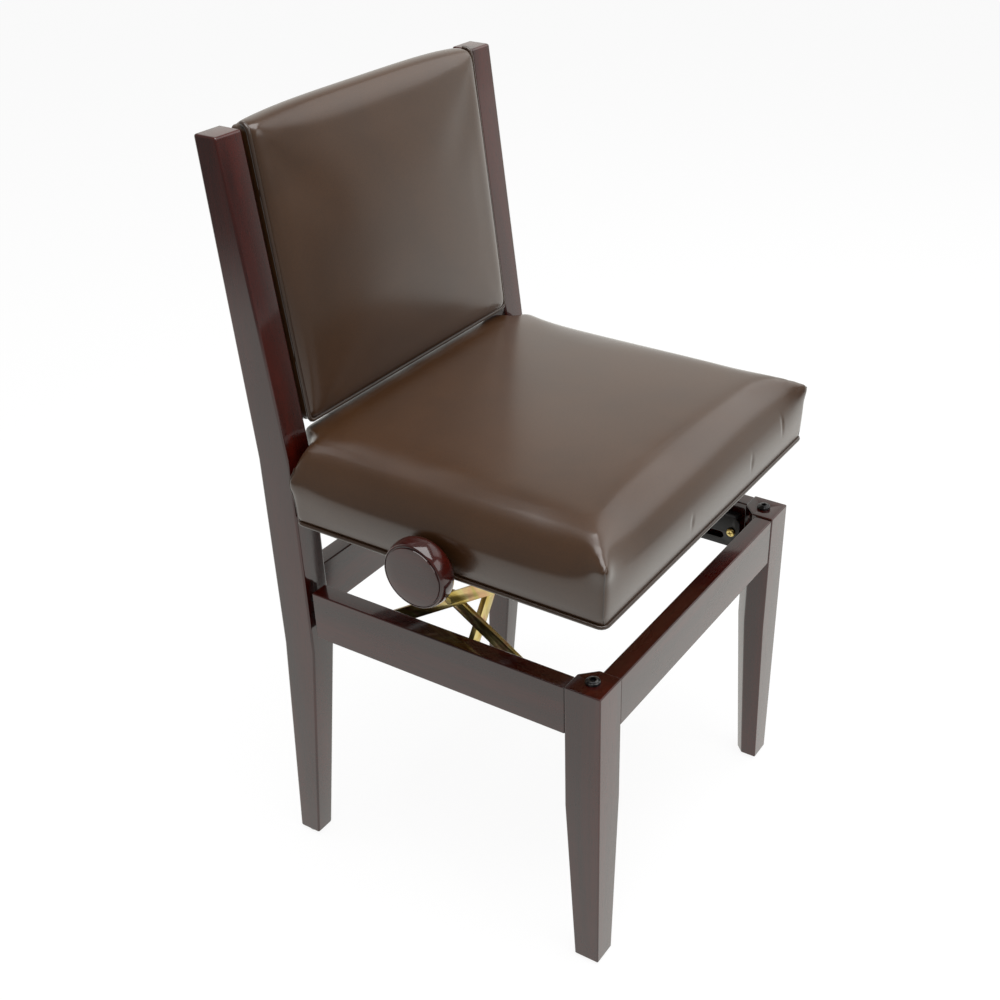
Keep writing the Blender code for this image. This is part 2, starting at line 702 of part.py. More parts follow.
def back_piping(carrier):
    """Piping down both sides of the pad and along its bottom."""
    outline = pad_outline()
    half_width = PAD_HALF_WIDTH - PAD_PIPING_RADIUS
    top = PAD_HEIGHT / 2 - PAD_PIPING_STOP
    path = [(-half_width, top), *outline[len(outline) // 2:], (half_width, top)]
    add_tube("back_piping", path, False, PAD_PIPING_RADIUS, "Y", LEATHER, carrier, (0, 0, PAD_HEIGHT / 2))


def pad_sheet(name, thickness, depth, paint, carrier):
    at = (0, depth + thickness / 2, PAD_HEIGHT / 2)
    return add_part(name, plate(name, [pad_outline()], thickness, "Y"), paint, carrier, at)


def back_boards(carrier):
    board = pad_sheet("back_board", PAD_BOARD, PAD_FOAM_BACK, PLYWOOD, carrier)
    bores = [
        hole(ROD_RADIUS + GAP, 2 * HALF_WIDTH, "X", (0, rod_depth(), up)) for up in rod_heights().values()
    ]
    cut(board, *bores)
    pad_sheet("back_rear_panel", PAD_PANEL, PAD_FOAM_BACK + PAD_BOARD + GAP, LEATHER, carrier)


def back_rods(carrier):
    for name, up in rod_heights().items():
        mesh = rod("back_rod", ROD_RADIUS, 2 * (POST_INNER + ROD_IN_POST), "X")
        add_part(f"back_rod_{name}", mesh, BLACK_STEEL, carrier, (0, rod_depth(), up))


# Lift channels

def channel_bolt_places():
    height = CHANNEL_UNDERSIDE + CHANNEL_HEIGHT / 2
    return {
        "front": (CHANNEL_FRONT + CHANNEL_BOLT_INSET, height),
        "rear": (CHANNEL_REAR - CHANNEL_BOLT_INSET, height),
    }


def channel_section(side, height):
    """A channel's section, from the inner face of its web out towards the rail."""
    steps = [
        (0.0, 0.0),
        (CHANNEL_DEPTH, 0.0),
        (CHANNEL_DEPTH, CHANNEL_WALL),
        (CHANNEL_WALL, CHANNEL_WALL),
        (CHANNEL_WALL, height - CHANNEL_WALL),
        (CHANNEL_DEPTH, height - CHANNEL_WALL),
        (CHANNEL_DEPTH, height),
        (0.0, height),
    ]
    return [(side * out, up) for out, up in steps]


def slot(radius, at):
    """A slot through a channel's web for a sliding end, at its place with the seat up."""
    first = (-SLOT_REACH_FRONT, 0.0)
    second = (SLOT_REACH_REAR, 0.0)
    outline = round_bar(first, second, radius + RUNNING_FIT)
    return plate("slot", [outline], 4 * CHANNEL_WALL, "X"), at


def base_channel(name, side, root):
    length = CHANNEL_REAR - CHANNEL_FRONT
    mesh = plate("base_channel", [channel_section(side, CHANNEL_HEIGHT)], length, "Y")
    at = (side * CHANNEL_INNER, CHANNEL_FRONT + length / 2, CHANNEL_UNDERSIDE)
    channel = add_part(f"base_channel_{name}", mesh, BLACK_STEEL, root, at)
    web = side * CHANNEL_INNER
    nose = CHANNEL_NOSE_CUT
    corner_outline = [(-nose, nose), (-nose, -2 * nose), (2 * nose, nose)]
    corner = plate("nose", [corner_outline], 4 * CHANNEL_DEPTH, "X")
    bolt_holes = [
        hole(CHANNEL_BOLT_RADIUS + GAP, 4 * CHANNEL_WALL, "X", (web, *spot))
        for spot in channel_bolt_places().values()
    ]
    cut(
        channel,
        hole(PIN_RADIUS + RUNNING_FIT, 4 * CHANNEL_WALL, "X", (web, REAR_PIVOT, BASE_PIVOT)),
        slot(PIN_RADIUS, (web, FRONT_PIVOT, BASE_PIVOT)),
        (corner, (web, CHANNEL_FRONT, CHANNEL_UNDERSIDE + CHANNEL_HEIGHT + nose / 2)),
        *bolt_holes,
    )


def channel_bolts(name, side, root):
    reach = CHANNEL_DEPTH + GAP + CHANNEL_BOLT_IN_RAIL
    profile = [
        (0.0, reach),
        (CHANNEL_BOLT_RADIUS, reach),
        (CHANNEL_BOLT_RADIUS, -GAP),
        (CHANNEL_BOLT_HEAD_RADIUS, -GAP),
        (CHANNEL_BOLT_HEAD_RADIUS, -GAP - CHANNEL_BOLT_HEAD_HEIGHT),
        (0.0, -GAP - CHANNEL_BOLT_HEAD_HEIGHT),
    ]
    for end, spot in channel_bolt_places().items():
        at = (side * CHANNEL_INNER, *spot)
        add_turned(f"channel_bolt_{end}_{name}", profile, (side, 0, 0), ZINC, root, at)


def upper_channel(name, side, seat):
    front = SEAT_FRONT + SEAT_BAR_WIDTH + UPPER_CHANNEL_FRONT_CLEARANCE
    rear = SEAT_REAR - SEAT_BAR_WIDTH - UPPER_CHANNEL_REAR_CLEARANCE
    mesh = plate("upper_channel", [channel_section(side, UPPER_CHANNEL_HEIGHT)], rear - front, "Y")
    at = (side * CHANNEL_INNER, (front + rear) / 2, UPPER_CHANNEL_UNDERSIDE)
    channel = add_part(f"upper_channel_{name}", mesh, BLACK_STEEL, seat, at)
    web = side * CHANNEL_INNER
    screw_hole = SCREW_RADIUS + SCREW_HOLE_CLEARANCE
    cut(
        channel,
        hole(SHAFT_RADIUS + RUNNING_FIT, 4 * CHANNEL_WALL, "X", (web, REAR_PIVOT, SEAT_PIVOT)),
        hole(screw_hole, 4 * CHANNEL_WALL, "X", (web, SCREW_OFFSET, SCREW_AXIS)),
        slot(SHAFT_RADIUS, (web, FRONT_PIVOT, SEAT_PIVOT)),
    )


# Scissor lift

def add_arm(name, place, low, high, end_radii, parent):
    """A flat arm in the Y and Z plane, with holes for what passes through its ends and middle."""
    middle = ((low[0] + high[0]) / 2, (low[1] + high[1]) / 2)
    spots = (low, middle, high)
    outlines = [round_bar(low, high, ARM_WIDTH / 2)]
    outlines += [circle(spot, radius + GAP) for spot, radius in zip(spots, end_radii)]
    origin = Vector(parent["place"])
    outlines = [[(y - origin.y, z - origin.z) for y, z in outline] for outline in outlines]
    mesh = plate(name, outlines, ARM_THICKNESS, "X")
    add_part(name, mesh, ZINC, parent, (place, origin.y, origin.z))


def add_pin(name, side, head_at, reach, tail, parent, along, height):
    """A pin with its head towards the middle of the chair. A tail is a disc's radius, start and end."""
    profile = [(0.0, -GAP - PIN_HEAD_HEIGHT)]
    profile += [(PIN_HEAD_RADIUS, -GAP - PIN_HEAD_HEIGHT), (PIN_HEAD_RADIUS, -GAP), (PIN_RADIUS, -GAP)]
    if tail:
        radius, start, end = tail
        profile += [(PIN_RADIUS, start - head_at), (radius, start - head_at), (radius, end - head_at)]
        profile.append((0.0, end - head_at))
    else:
        profile += [(PIN_RADIUS, reach - head_at), (0.0, reach - head_at)]
    add_turned(name, profile[::-1], (side, 0, 0), ZINC, parent, (side * head_at, along, height))


def outer_arms(carrier):
    rear_low = (REAR_PIVOT, BASE_PIVOT)
    front_high = (FRONT_PIVOT, SEAT_PIVOT)
    face = OUTER_ARM_MIDDLE - ARM_THICKNESS / 2
    tail = (PIN_HEAD_RADIUS, CHANNEL_INSIDE, CHANNEL_INSIDE + PIN_HEAD_HEIGHT)
    flush = OUTER_ARM_MIDDLE + ARM_THICKNESS / 2
    radii = (PIN_RADIUS, PIN_RADIUS, SHAFT_RADIUS)
    for name, side in SIDES:
        add_arm(f"outer_arm_{name}", side * OUTER_ARM_MIDDLE, rear_low, front_high, radii, carrier)
        add_pin(f"base_pivot_pin_{name}", side, face, None, tail, carrier, *rear_low)
        add_pin(f"centre_pin_{name}", side, INNER_ARM_FACE, flush, None, carrier, CENTRE_Y, CENTRE_Z)
    add_shaft("front_slide_shaft", front_high, carrier)


def inner_arms(carrier):
    front_low = (FRONT_PIVOT, BASE_PIVOT)
    rear_high = (REAR_PIVOT, SEAT_PIVOT)
    tail = (ROLLER_RADIUS, CHANNEL_INSIDE, CHANNEL_OUTER - CHANNEL_WALL)
    radii = (PIN_RADIUS, PIN_RADIUS + RUNNING_FIT - GAP, SHAFT_RADIUS)
    for name, side in SIDES:
        add_arm(f"inner_arm_{name}", side * INNER_ARM_MIDDLE, front_low, rear_high, radii, carrier)
        add_pin(f"roller_pin_{name}", side, INNER_ARM_FACE, None, tail, carrier, *front_low)
    add_shaft("rear_pivot_shaft", rear_high, carrier)


def add_shaft(name, spot, parent):
    mesh = rod(name, SHAFT_RADIUS, 2 * (CHANNEL_OUTER - CHANNEL_WALL), "X")
    add_part(name, mesh, BRIGHT_STEEL, parent, (0, *spot))


# Jack links and nuts

def jack_bracket(name, side, root):
    inner = LINK_FOOT_PLACE - BRACKET_EDGE
    outer = CHANNEL_INNER - GAP
    width = LINK_SLOT + 2 * BRACKET_CHEEK
    size = (outer - inner, width, 2 * BRACKET_EDGE)
    at = (side * (inner + outer) / 2, SCREW_OFFSET, LINK_FOOT)
    bracket = add_part(f"jack_bracket_{name}", box("jack_bracket", size), BLACK_STEEL, root, at)
    mouth = outer - BRACKET_BASE - inner
    slot_box = box("mouth", (2 * mouth, LINK_SLOT, 4 * BRACKET_EDGE))
    pivot = (side * LINK_FOOT_PLACE, SCREW_OFFSET, LINK_FOOT)
    cut(bracket, (slot_box, (side * inner, SCREW_OFFSET, LINK_FOOT)))
    cut(bracket, hole(LINK_PIN_RADIUS + RUNNING_FIT, 2 * width, "Y", pivot))


def jack_link(name, side, carrier):
    foot = (side * LINK_FOOT_PLACE, LINK_FOOT)
    head = (side * NUT_PLACE, LINK_TOP)
    lean = (head[0] - foot[0], head[1] - foot[1])
    mesh = plate("jack_link", [round_bar((0.0, 0.0), lean, LINK_WIDTH / 2)], LINK_THICKNESS, "Y")
    link = add_part(f"jack_link_{name}", mesh, ZINC, carrier, (foot[0], SCREW_OFFSET, foot[1]))
    foot_pin = rod("foot_pin", LINK_PIN_RADIUS, LINK_SLOT + 2 * BRACKET_CHEEK, "Y")
    head_pin = rod("head_pin", LINK_PIN_RADIUS, NUT_WIDTH, "Y")
    join(
        link,
        (foot_pin, (foot[0], SCREW_OFFSET, foot[1])),
        (head_pin, (head[0], SCREW_OFFSET, head[1])),
    )


def jack_nut(name, side, carrier):
    bore = SCREW_RADIUS + NUT_PLAY
    top = SCREW_AXIS + bore + NUT_TOP_WALL
    bottom = LINK_TOP - LINK_WIDTH / 2
    size = (NUT_LENGTH, NUT_WIDTH, top - bottom)
    at = (side * NUT_PLACE, SCREW_OFFSET, (top + bottom) / 2)
    nut = add_part(f"jack_nut_{name}", box("jack_nut", size), BRIGHT_STEEL, carrier, at)
    mouth_top = LINK_TOP + LINK_WIDTH / 2 + ARM_CLEARANCE
    mouth = box("mouth", (2 * NUT_LENGTH, LINK_SLOT, 2 * (mouth_top - bottom)))
    pivot = (side * NUT_PLACE, SCREW_OFFSET, LINK_TOP)
    cut(
        nut,
        hole(bore, 2 * NUT_LENGTH, "X", (side * NUT_PLACE, SCREW_OFFSET, SCREW_AXIS)),
        (mouth, (side * NUT_PLACE, SCREW_OFFSET, bottom)),
    )
    cut(nut, hole(LINK_PIN_RADIUS + RUNNING_FIT, 2 * NUT_WIDTH, "Y", pivot))


# Seat

def seat_side_bar(name, side, seat):
    inner = side * SEAT_BAR_INNER
    across = side * (SEAT_HALF_WIDTH - SEAT_CORNER)
    along = SEAT_HALF_DEPTH - SEAT_CORNER
    outward = 0.0 if side > 0 else math.pi
    quarter = side * math.pi / 2
    front_corner = arc((across, -along), SEAT_CORNER, outward - quarter, outward)
    rear_corner = arc((across, along), SEAT_CORNER, outward, outward + quarter)
    outline = [*front_corner, *rear_corner, (inner, SEAT_HALF_DEPTH), (inner, -SEAT_HALF_DEPTH)]
    mesh = plate("seat_frame_side", [outline], SEAT_BAR_HEIGHT, "Z")
    bar = add_part(f"seat_frame_{name}", mesh, WOOD, seat, (0, SEAT_MIDDLE, SEAT_BAR_MIDDLE))
    bearing_depth = SEAT_BAR_WIDTH if side < 0 else BEARING_LENGTH
    seat_hole = hole(BUSH_RADIUS + GAP, 2 * (bearing_depth + GAP), "X", (inner, SCREW_OFFSET, SCREW_AXIS))
    cut(bar, seat_hole)


def seat_cross_bars(seat):
    size = (2 * (SEAT_BAR_INNER - GAP), SEAT_BAR_WIDTH, SEAT_BAR_HEIGHT)
    for name, end in ENDS:
        along = SEAT_MIDDLE + end * (SEAT_HALF_DEPTH - SEAT_BAR_WIDTH / 2)
        add_part(f"seat_frame_{name}", box("seat_frame_end", size), WOOD, seat, (0, along, SEAT_BAR_MIDDLE))


def seat_board(seat):
    outline = round_rectangle(SEAT_HALF_WIDTH, SEAT_HALF_DEPTH, SEAT_CORNER)
    at = (0, SEAT_MIDDLE, BOARD_UNDERSIDE + SEAT_BOARD / 2)
    add_part("seat_board", plate("seat_board", [outline], SEAT_BOARD, "Z"), PLYWOOD, seat, at)


def seat_cushion(seat):
    middle_outset = (CUSHION_LOWER_OUTSET + CUSHION_UPPER_OUTSET) / 2
    levels = [
        (CUSHION_LOWER_OUTSET, 1.0, 0.0),
        (middle_outset, 1.0, CUSHION_EDGE / 3),
        (CUSHION_UPPER_OUTSET, 1.0, CUSHION_EDGE),
        *crown_levels(CUSHION_UPPER_OUTSET, CUSHION_EDGE, CUSHION_ROLL, CUSHION_CROWN),
    ]
    mesh = cushion("seat_cushion", SEAT_HALF_WIDTH, SEAT_HALF_DEPTH, SEAT_CORNER, levels, "Z")
    add_part("seat_cushion", mesh, LEATHER, seat, (0, SEAT_MIDDLE, CUSHION_UNDERSIDE))


def seat_piping(seat):
    offset = GAP + SEAT_PIPING_RADIUS
    outline = round_rectangle(SEAT_HALF_WIDTH + offset, SEAT_HALF_DEPTH + offset, SEAT_CORNER + offset)
    at = (0, SEAT_MIDDLE, SEAT_UNDERSIDE + SEAT_PIPING_RADIUS)
    add_tube("seat_piping", outline, True, SEAT_PIPING_RADIUS, "Z", LEATHER, seat, at)


def screw_supports(seat):
    """A flanged bush on the knob's side and a plain bearing on the far side."""
    inner = SCREW_RADIUS + RUNNING_FIT
    flange = BUSH_RADIUS + BUSH_WALL
    bush = [
        (inner, SEAT_BAR_WIDTH),
        (BUSH_RADIUS, SEAT_BAR_WIDTH),
        (BUSH_RADIUS, -GAP),
        (flange, -GAP),
        (flange, -GAP - BUSH_FLANGE),
        (inner, -GAP - BUSH_FLANGE),
    ]
    bush_at = (-SEAT_BAR_INNER, SCREW_OFFSET, SCREW_AXIS)
    add_turned("screw_bush", bush, (-1, 0, 0), BRIGHT_STEEL, seat, bush_at, closed=True)
    bearing = [(inner, BEARING_LENGTH), (BUSH_RADIUS, BEARING_LENGTH), (BUSH_RADIUS, 0.0), (inner, 0.0)]
    bearing_at = (SEAT_BAR_INNER, SCREW_OFFSET, SCREW_AXIS)
    add_turned("screw_end_bearing", bearing, (1, 0, 0), BRIGHT_STEEL, seat, bearing_at, closed=True)


# Screw and knob

def lift_screw(carrier):
    """The screw from inside the knob to inside the end bearing, with a collar behind the bush."""
    tip = KNOB_BACK + KNOB_BORE_DEPTH - GAP
    collar = SEAT_BAR_INNER - 2 * GAP - BUSH_FLANGE
    end = -SEAT_BAR_INNER - BEARING_LENGTH + GAP
    profile = [
        (0.0, tip),
        (SCREW_RADIUS, tip),
        (SCREW_RADIUS, collar),
        (SCREW_COLLAR_RADIUS, collar),
        (SCREW_COLLAR_RADIUS, collar - SCREW_COLLAR_WIDTH),
        (SCREW_RADIUS, collar - SCREW_COLLAR_WIDTH),
        (SCREW_RADIUS, end),
        (0.0, end),
    ]
    at = (0, SCREW_OFFSET, SCREW_AXIS)
    add_turned("lift_screw", profile, (-1, 0, 0), BRIGHT_STEEL, carrier, at)


def knob_side():
    """The bulging side, as an ellipse from the face to the widest point and on to the back."""
    points = []
    for step in range(2 * ARC_STEPS + 1):
        turn = math.pi * step / (2 * ARC_STEPS)
        end_radius = KNOB_FACE_RADIUS if step < ARC_STEPS else KNOB_BACK_RADIUS
        radius = end_radius + (KNOB_RADIUS - end_radius) * math.sin(turn)
        points.append((radius, KNOB_LENGTH / 2 * (1 + math.cos(turn))))
    return points


def knob(carrier):
    bore = SCREW_RADIUS + GAP
    profile = [
        (0.0, KNOB_LENGTH),
        *knob_side(),
        (bore, 0.0),
        (bore, KNOB_BORE_DEPTH),
        (0.0, KNOB_BORE_DEPTH),
    ]
    at = (-KNOB_BACK, SCREW_OFFSET, SCREW_AXIS)
    add_turned("knob", profile, (-1, 0, 0), WOOD, carrier, at)


# Assembly

def build_frame(root):
    cross_rails(root)
    for name, side in SIDES:
        front_leg(name, side, root)
        leg_bolt(name, side, root)
        rear_post(name, side, root)
        side_rail(name, side, root)
        rail_bolt(name, side, root)
        glides(name, side, root)
        base_channel(name, side, root)
        channel_bolts(name, side, root)
        jack_bracket(name, side, root)


def build_back(root):
    carrier = back_carrier(root)
    back_cushion(carrier)
    back_piping(carrier)
    back_boards(carrier)
    back_rods(carrier)


def build_seat(seat):
    seat_cross_bars(seat)
    seat_board(seat)
    seat_cushion(seat)
    seat_piping(seat)
    screw_supports(seat)
    for name, side in SIDES:
        seat_side_bar(name, side, seat)
        upper_channel(name, side, seat)


def build_lift(root):
    outer_arms(add_empty("outer_arms_axis", (0, REAR_PIVOT, BASE_PIVOT), root))
    inner_arms(add_empty("inner_arms_axis", (0, CENTRE_Y, CENTRE_Z), root))
    screw = add_empty("screw_axis", (0, SCREW_OFFSET, SCREW_AXIS), root)
    lift_screw(screw)
    knob(screw)
    for name, side in SIDES:
        foot = (side * LINK_FOOT_PLACE, SCREW_OFFSET, LINK_FOOT)
        jack_link(name, side, add_empty(f"jack_link_axis_{name}", foot, root))
        head = (side * NUT_PLACE, SCREW_OFFSET, LINK_TOP)
        jack_nut(name, side, add_empty(f"jack_nut_axis_{name}", head, root))


chair = add_empty("chair_root", (0, 0, 0))
chair.location = (-FOOTPRINT_X, -FOOTPRINT_Y, 0)
build_frame(chair)
build_back(chair)
build_seat(add_empty("seat_axis", (0, REAR_PIVOT, SEAT_PIVOT), chair))
build_lift(chair)
bpy.context.view_layer.update()
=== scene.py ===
"""Looks of the piano chair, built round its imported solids.

Metres, +Z up. The chair faces -Y and the knob is on the sitter's right, at -X.
"""

import json
import math

import bmesh
import bpy
import numpy as np
from mathutils import Matrix, Vector


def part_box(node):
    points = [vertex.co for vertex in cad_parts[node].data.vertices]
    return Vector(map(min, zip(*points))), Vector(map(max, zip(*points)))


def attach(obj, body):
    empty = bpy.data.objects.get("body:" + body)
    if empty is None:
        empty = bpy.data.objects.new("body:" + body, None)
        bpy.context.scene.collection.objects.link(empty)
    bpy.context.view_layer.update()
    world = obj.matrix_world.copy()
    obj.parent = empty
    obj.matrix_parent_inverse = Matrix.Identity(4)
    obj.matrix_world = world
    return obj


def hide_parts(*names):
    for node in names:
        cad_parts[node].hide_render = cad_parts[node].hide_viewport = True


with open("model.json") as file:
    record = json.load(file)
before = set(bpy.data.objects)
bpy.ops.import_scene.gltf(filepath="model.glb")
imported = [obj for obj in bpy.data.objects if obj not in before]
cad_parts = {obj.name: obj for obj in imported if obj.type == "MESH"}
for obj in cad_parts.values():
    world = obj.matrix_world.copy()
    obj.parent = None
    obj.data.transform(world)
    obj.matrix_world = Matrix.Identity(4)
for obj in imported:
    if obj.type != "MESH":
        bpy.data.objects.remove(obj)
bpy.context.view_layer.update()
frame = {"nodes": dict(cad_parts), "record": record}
NODES = frame["nodes"]
BODIES = frame["record"]["behaviour"]["bodies"]
BODY_OF = {node: body for body, nodes in BODIES.items() for node in nodes}
SIDES = ("right", "left")

# Camera, from the photo's edges
EYE = Vector((-1.09315, -0.72769, 1.18861))
AIM = Vector((-0.00963, -0.08109, 0.34962))
ROLL = -0.003507
LENS = 49.945
SENSOR = 36.0
FRAME_SHIFT = (-0.08725, 0.08407)

# Leather
VOXEL = 0.004
SEAM_RADIUS = 0.0006
SEAM_STEPS = 14
SEAM_SLAB = 0.002                # half of the height in which a seam looks for the cover's corner
PIPING_SPACING = 0.003
PIPING_SIDES = 12
CLOTH = {
    "quality": 6,
    "mass": 0.4,
    "tension_stiffness": 40.0,
    "compression_stiffness": 40.0,
    "shear_stiffness": 40.0,
    "bending_stiffness": 60.0,
    "use_pressure": True,
    "uniform_pressure_force": 4.0,
}
FRAMES = 20
EVENING = 40                     # rounds that even out how far a cover swells
TUCK = 0.004                     # of a cover past its opening, cut off again

# Seat cover, measured out from the seat frame's sides and up from its underside
SEAT_CORNER = 0.005
SEAT_PIPING_RADIUS = 0.0022
COVER_GAP = 0.0003
COVER_FOOT = 0.0038
FOOT_OUTSET = 0.0018
SIDE_OUTSET = 0.0036
EAR_OUTSET = 0.0046
EAR_FALL = 6                     # higher keeps an ear closer to its corner
SIDE_TOP = 0.036                 # where a side starts to roll over
EAR_TOP = 0.0640                 # the same at the front corners
REAR_TOP = 0.072                 # and between the posts
REAR_EAR_TOP = 0.047             # and at the rear corners
ROLL_REACH = 0.058
EAR_REACH = 0.026
REAR_REACH = 0.010
REAR_EAR_REACH = 0.032
ROLL_ONSET = 3                   # higher starts a roll more gently
SIDE_ROLL_TOP = 0.0830
FRONT_ROLL_TOP = 0.0850
SEAT_CROWN = 0.0904
CORNER_BLEND = 2.0               # higher makes a sharper line where two rolls meet
REAR_BULGE = 0.0225              # back between the posts, under the pad
BULGE_EDGE = 0.1795
BULGE_SIDE = 0.012
SEAT_SWELL = 0.002
SEAT_SMOOTHING = 4
HOLE_PLAY = 0.0012
HOLE_DEPTH = 0.012
EAR_PUSH = 0.0028
REAR_EAR_PUSH = 0.0024
EAR_SIZE = 0.011
EAR_LIFT = 0.1                   # of an ear's push that goes upwards
PUCKERS = (                      # in the front boxing: place across, height, half of the length
    (0.161, 0.042, 0.009),
    (0.084, 0.033, 0.008),
    (-0.052, 0.030, 0.007),
)
PUCKER_WIDTH = 0.0024
PUCKER_DEPTH = 0.0011

# Back pad, in its own leaning frame: across, up from the middle, forward from the piping's plane
PAD_CORNER = 0.007
PAD_PIPING_RADIUS = 0.0022
ROD_INSET = 0.065
ROD_DEPTH = 0.013
PAD_COVER_REAR = -0.0178
PAD_FOAM_REAR = -0.0080
PAD_WALL_SET_IN = 0.0012
PAD_ROLL_START = 0.002
PAD_TOP_ROLL_START = -0.008
PAD_ROLL_TOP = 0.0105
PAD_CORNER_TOP = 0.0045
PAD_ROLL_REACH = 0.024
PAD_CORNER_REACH = 0.005
PAD_CROWN = 0.016
PAD_SWELL = 0.003
PAD_SMOOTHING = 8
PAD_TOP_BOW = 0.0060
PAD_BOW_REACH = 0.05
PAD_BOW_FLATNESS = 4             # higher keeps the bow fuller towards the corners
PANEL_THICKNESS = 0.004
PANEL_CROWN = 0.006
PANEL_ROUND = 0.0015
WELT_END = (                     # in from the side, down from the top, forward
    (0.0000, 0.0080, 0.0000),
    (0.0000, 0.0040, -0.0008),
    (0.0006, 0.0008, -0.0040),
    (0.0020, 0.0002, -0.0090),
)

# Rings of the soft forms
CORNER_STEPS = 8
SIDE_STEPS = 40
SEAT_SIDE_STEPS = 120
SEAT_TOP_STEPS = 40
WALL_STEPS = 8
ROLL_STEPS = 8
CROWN_STEPS = 14
CROWN_FALL = 2.6                 # above 1, a crown is flatter in the middle
RIM_FALL = 12                    # higher keeps a low corner of a crown's rim more local
ROLL_TIGHTENING = 4              # higher keeps a wide roll closer to the corners
SQUARENESS = 25                  # odd; higher turns faster from one side to the next

# Metal and wood details
TURN_STEPS = 96
WELD = 0.00001
FLAT = math.radians(1)
SHARP = math.radians(50)
STEEL_EASE = 0.0005
SCREW_RADIUS = 0.0058
SCREW_CHAMFER = 0.0008
COLLAR_RADIUS = 0.009
COLLAR_LENGTH = 0.003
THREAD_PITCH = 0.003
THREAD_HEIGHT = 0.0008
THREAD_SIDES = 4
THREAD_STEPS = 20                # in each turn
THREAD_AFTER_COLLAR = 0.014
THREAD_FROM_MIDDLE = 0.010
THREAD_FROM_END = 0.030
KNOB_FACE_SET_IN = 0.0032
KNOB_DOME = (0.6, 0.0002)        # a share of the face's radius, and its drop there
KNOB_BEAD = (                    # in from the edge of the face, down from its middle
    (0.0030, 0.0006),
    (0.0020, 0.0008),
    (0.0014, 0.0022),
    (0.0006, 0.0022),
)
KNOB_RIM_STEPS = 24
KNOB_RIM_DROP = 0.0014
KNOB_REAR_SET_IN = 0.010
KNOB_BORE = 0.0138
LEG_BOLT_SHANK = 0.0039
LEG_BOLT_EDGE = (0.75, 0.0012)   # a share of the rise, and the edge's round
LEG_BOLT_RING = (                # shares of the radius and of the rise
    (0.74, 0.83),
    (0.70, 0.76),
    (0.66, 0.86),
    (0.52, 1.00),
)
LEG_BOLT_SOCKET = (              # a share of the radius, and down from the top
    (0.44, 0.0),
    (0.42, 0.0004),
    (0.40, 0.0026),
)
SOCKET_DEPTH = 0.0030
CHANNEL_BOLT = {
    "Head Radius": 0.0055,
    "Head Height": 0.0038,
    "Shank Radius": 0.0029,
    "Shank Length": 0.024,
    "Slot": 0.0012,
    "Seed": 4,
}
HEAD_SIDES = 40
SHANK_SIDES = 24
DOME_FLATNESS = 0.9              # half of a head's dome, as a share of the head's height
DOME_RISE = 0.35                 # its middle, likewise
SLOT_RISE = 1.05                 # the middle of the slots, likewise
SLOT_LENGTH = 1.1                # a share of the head's radius

# Light
AMBIENT = 0.20
SURROUND_SHINE = 0.74            # of the surround in reflections
CEILING = (0.45, 0.75)           # where it starts to dim towards the ceiling and where it is dimmest
CEILING_DIMMED = 0.75
BACKDROP = (0.17, 0.38)          # towards the backdrop, dimmest up to the first and full from the second
BACKDROP_DIMMED = 0.80
FLOOR = 6.0
FLOOR_DROP = 0.0005
FLOOR_GREY = 0.80                # to light
FLOOR_SHADED_GREY = 0.13         # to the camera, beside its glow
FLOOR_GLOW = 0.92
FLOOR_POOL = (1.8, 2.6)          # how far out its white starts to dim in reflections, and is dimmest
LIGHT_AIM = Vector((0.0, 0.0, 0.45))
LAMPS = (                        # place, two sides, power
    ("front_light", (0.2, -2.3, 1.7), (1.8, 1.2), 12.0),
    ("right_light", (1.8, -0.75, 1.95), (1.9, 1.7), 9.0),
    ("top_light", (-0.2, -0.3, 2.6), (2.0, 2.0), 52.0),
)


class Socket:
    """A node's output, with the sums that finishes are written in."""

    def __init__(self, tree, link):
        self.tree = tree
        self.link = link

    def sum(self, operation, first, second):
        return self.tree.add("ShaderNodeMath", {"operation": operation}, {0: first, 1: second})

    def __add__(self, other):
        return self.sum("ADD", self, other)

    def __sub__(self, other):
        return self.sum("SUBTRACT", self, other)

    def __rsub__(self, other):
        return self.sum("SUBTRACT", other, self)

    def __mul__(self, other):
        return self.sum("MULTIPLY", self, other)

    def __truediv__(self, other):
        return self.sum("DIVIDE", self, other)

    __radd__ = __add__
    __rmul__ = __mul__


class Tree:
    """A node tree. Every node in it comes from one method."""

    def __init__(self, nodes):
        self.nodes = nodes

    def add(self, kind, settings=None, inputs=None, output=0):
        node = self.nodes.nodes.new(kind)
        for name, value in (settings or {}).items():
            if name == "stops":
                fill_ramp(node.color_ramp, value)
            else:
                setattr(node, name, value)
        for name, value in (inputs or {}).items():
            for part in value if isinstance(value, list) else [value]:
                if isinstance(part, Socket):
                    self.nodes.links.new(part.link, node.inputs[name])
                else:
                    node.inputs[name].default_value = part
        return Socket(self, node.outputs[output]) if node.outputs else None

    def mix(self, share, first, second):
        return self.add("ShaderNodeMix", {"data_type": "RGBA"}, {0: share, 6: first, 7: second}, 2)

    def noise(self, place, scale, detail=2.0, distortion=0.0):
        inputs = {"Vector": place, "Scale": scale, "Detail": detail, "Distortion": distortion}
        return self.add("ShaderNodeTexNoise", inputs=inputs)

    def between(self, value, low, high):
        """0 below low, 1 above high, smooth between them."""
        inputs = {"Value": value, "From Min": low, "From Max": high}
        return self.add("ShaderNodeMapRange", {"interpolation_type": "SMOOTHSTEP"}, inputs)


def fill_ramp(ramp, stops):
    while len(ramp.elements) < len(stops):
        ramp.elements.new(1.0)
    for element, (place, colour) in zip(ramp.elements, stops):
        element.position = place
        element.color = rgb(*colour)


def rgb(red, green, blue):
    return (red, green, blue, 1.0)


def grey(level):
    return rgb(level, level, level)


WHITE = grey(1.0)
WARM_WHITE = rgb(1.0, 0.99, 0.94)


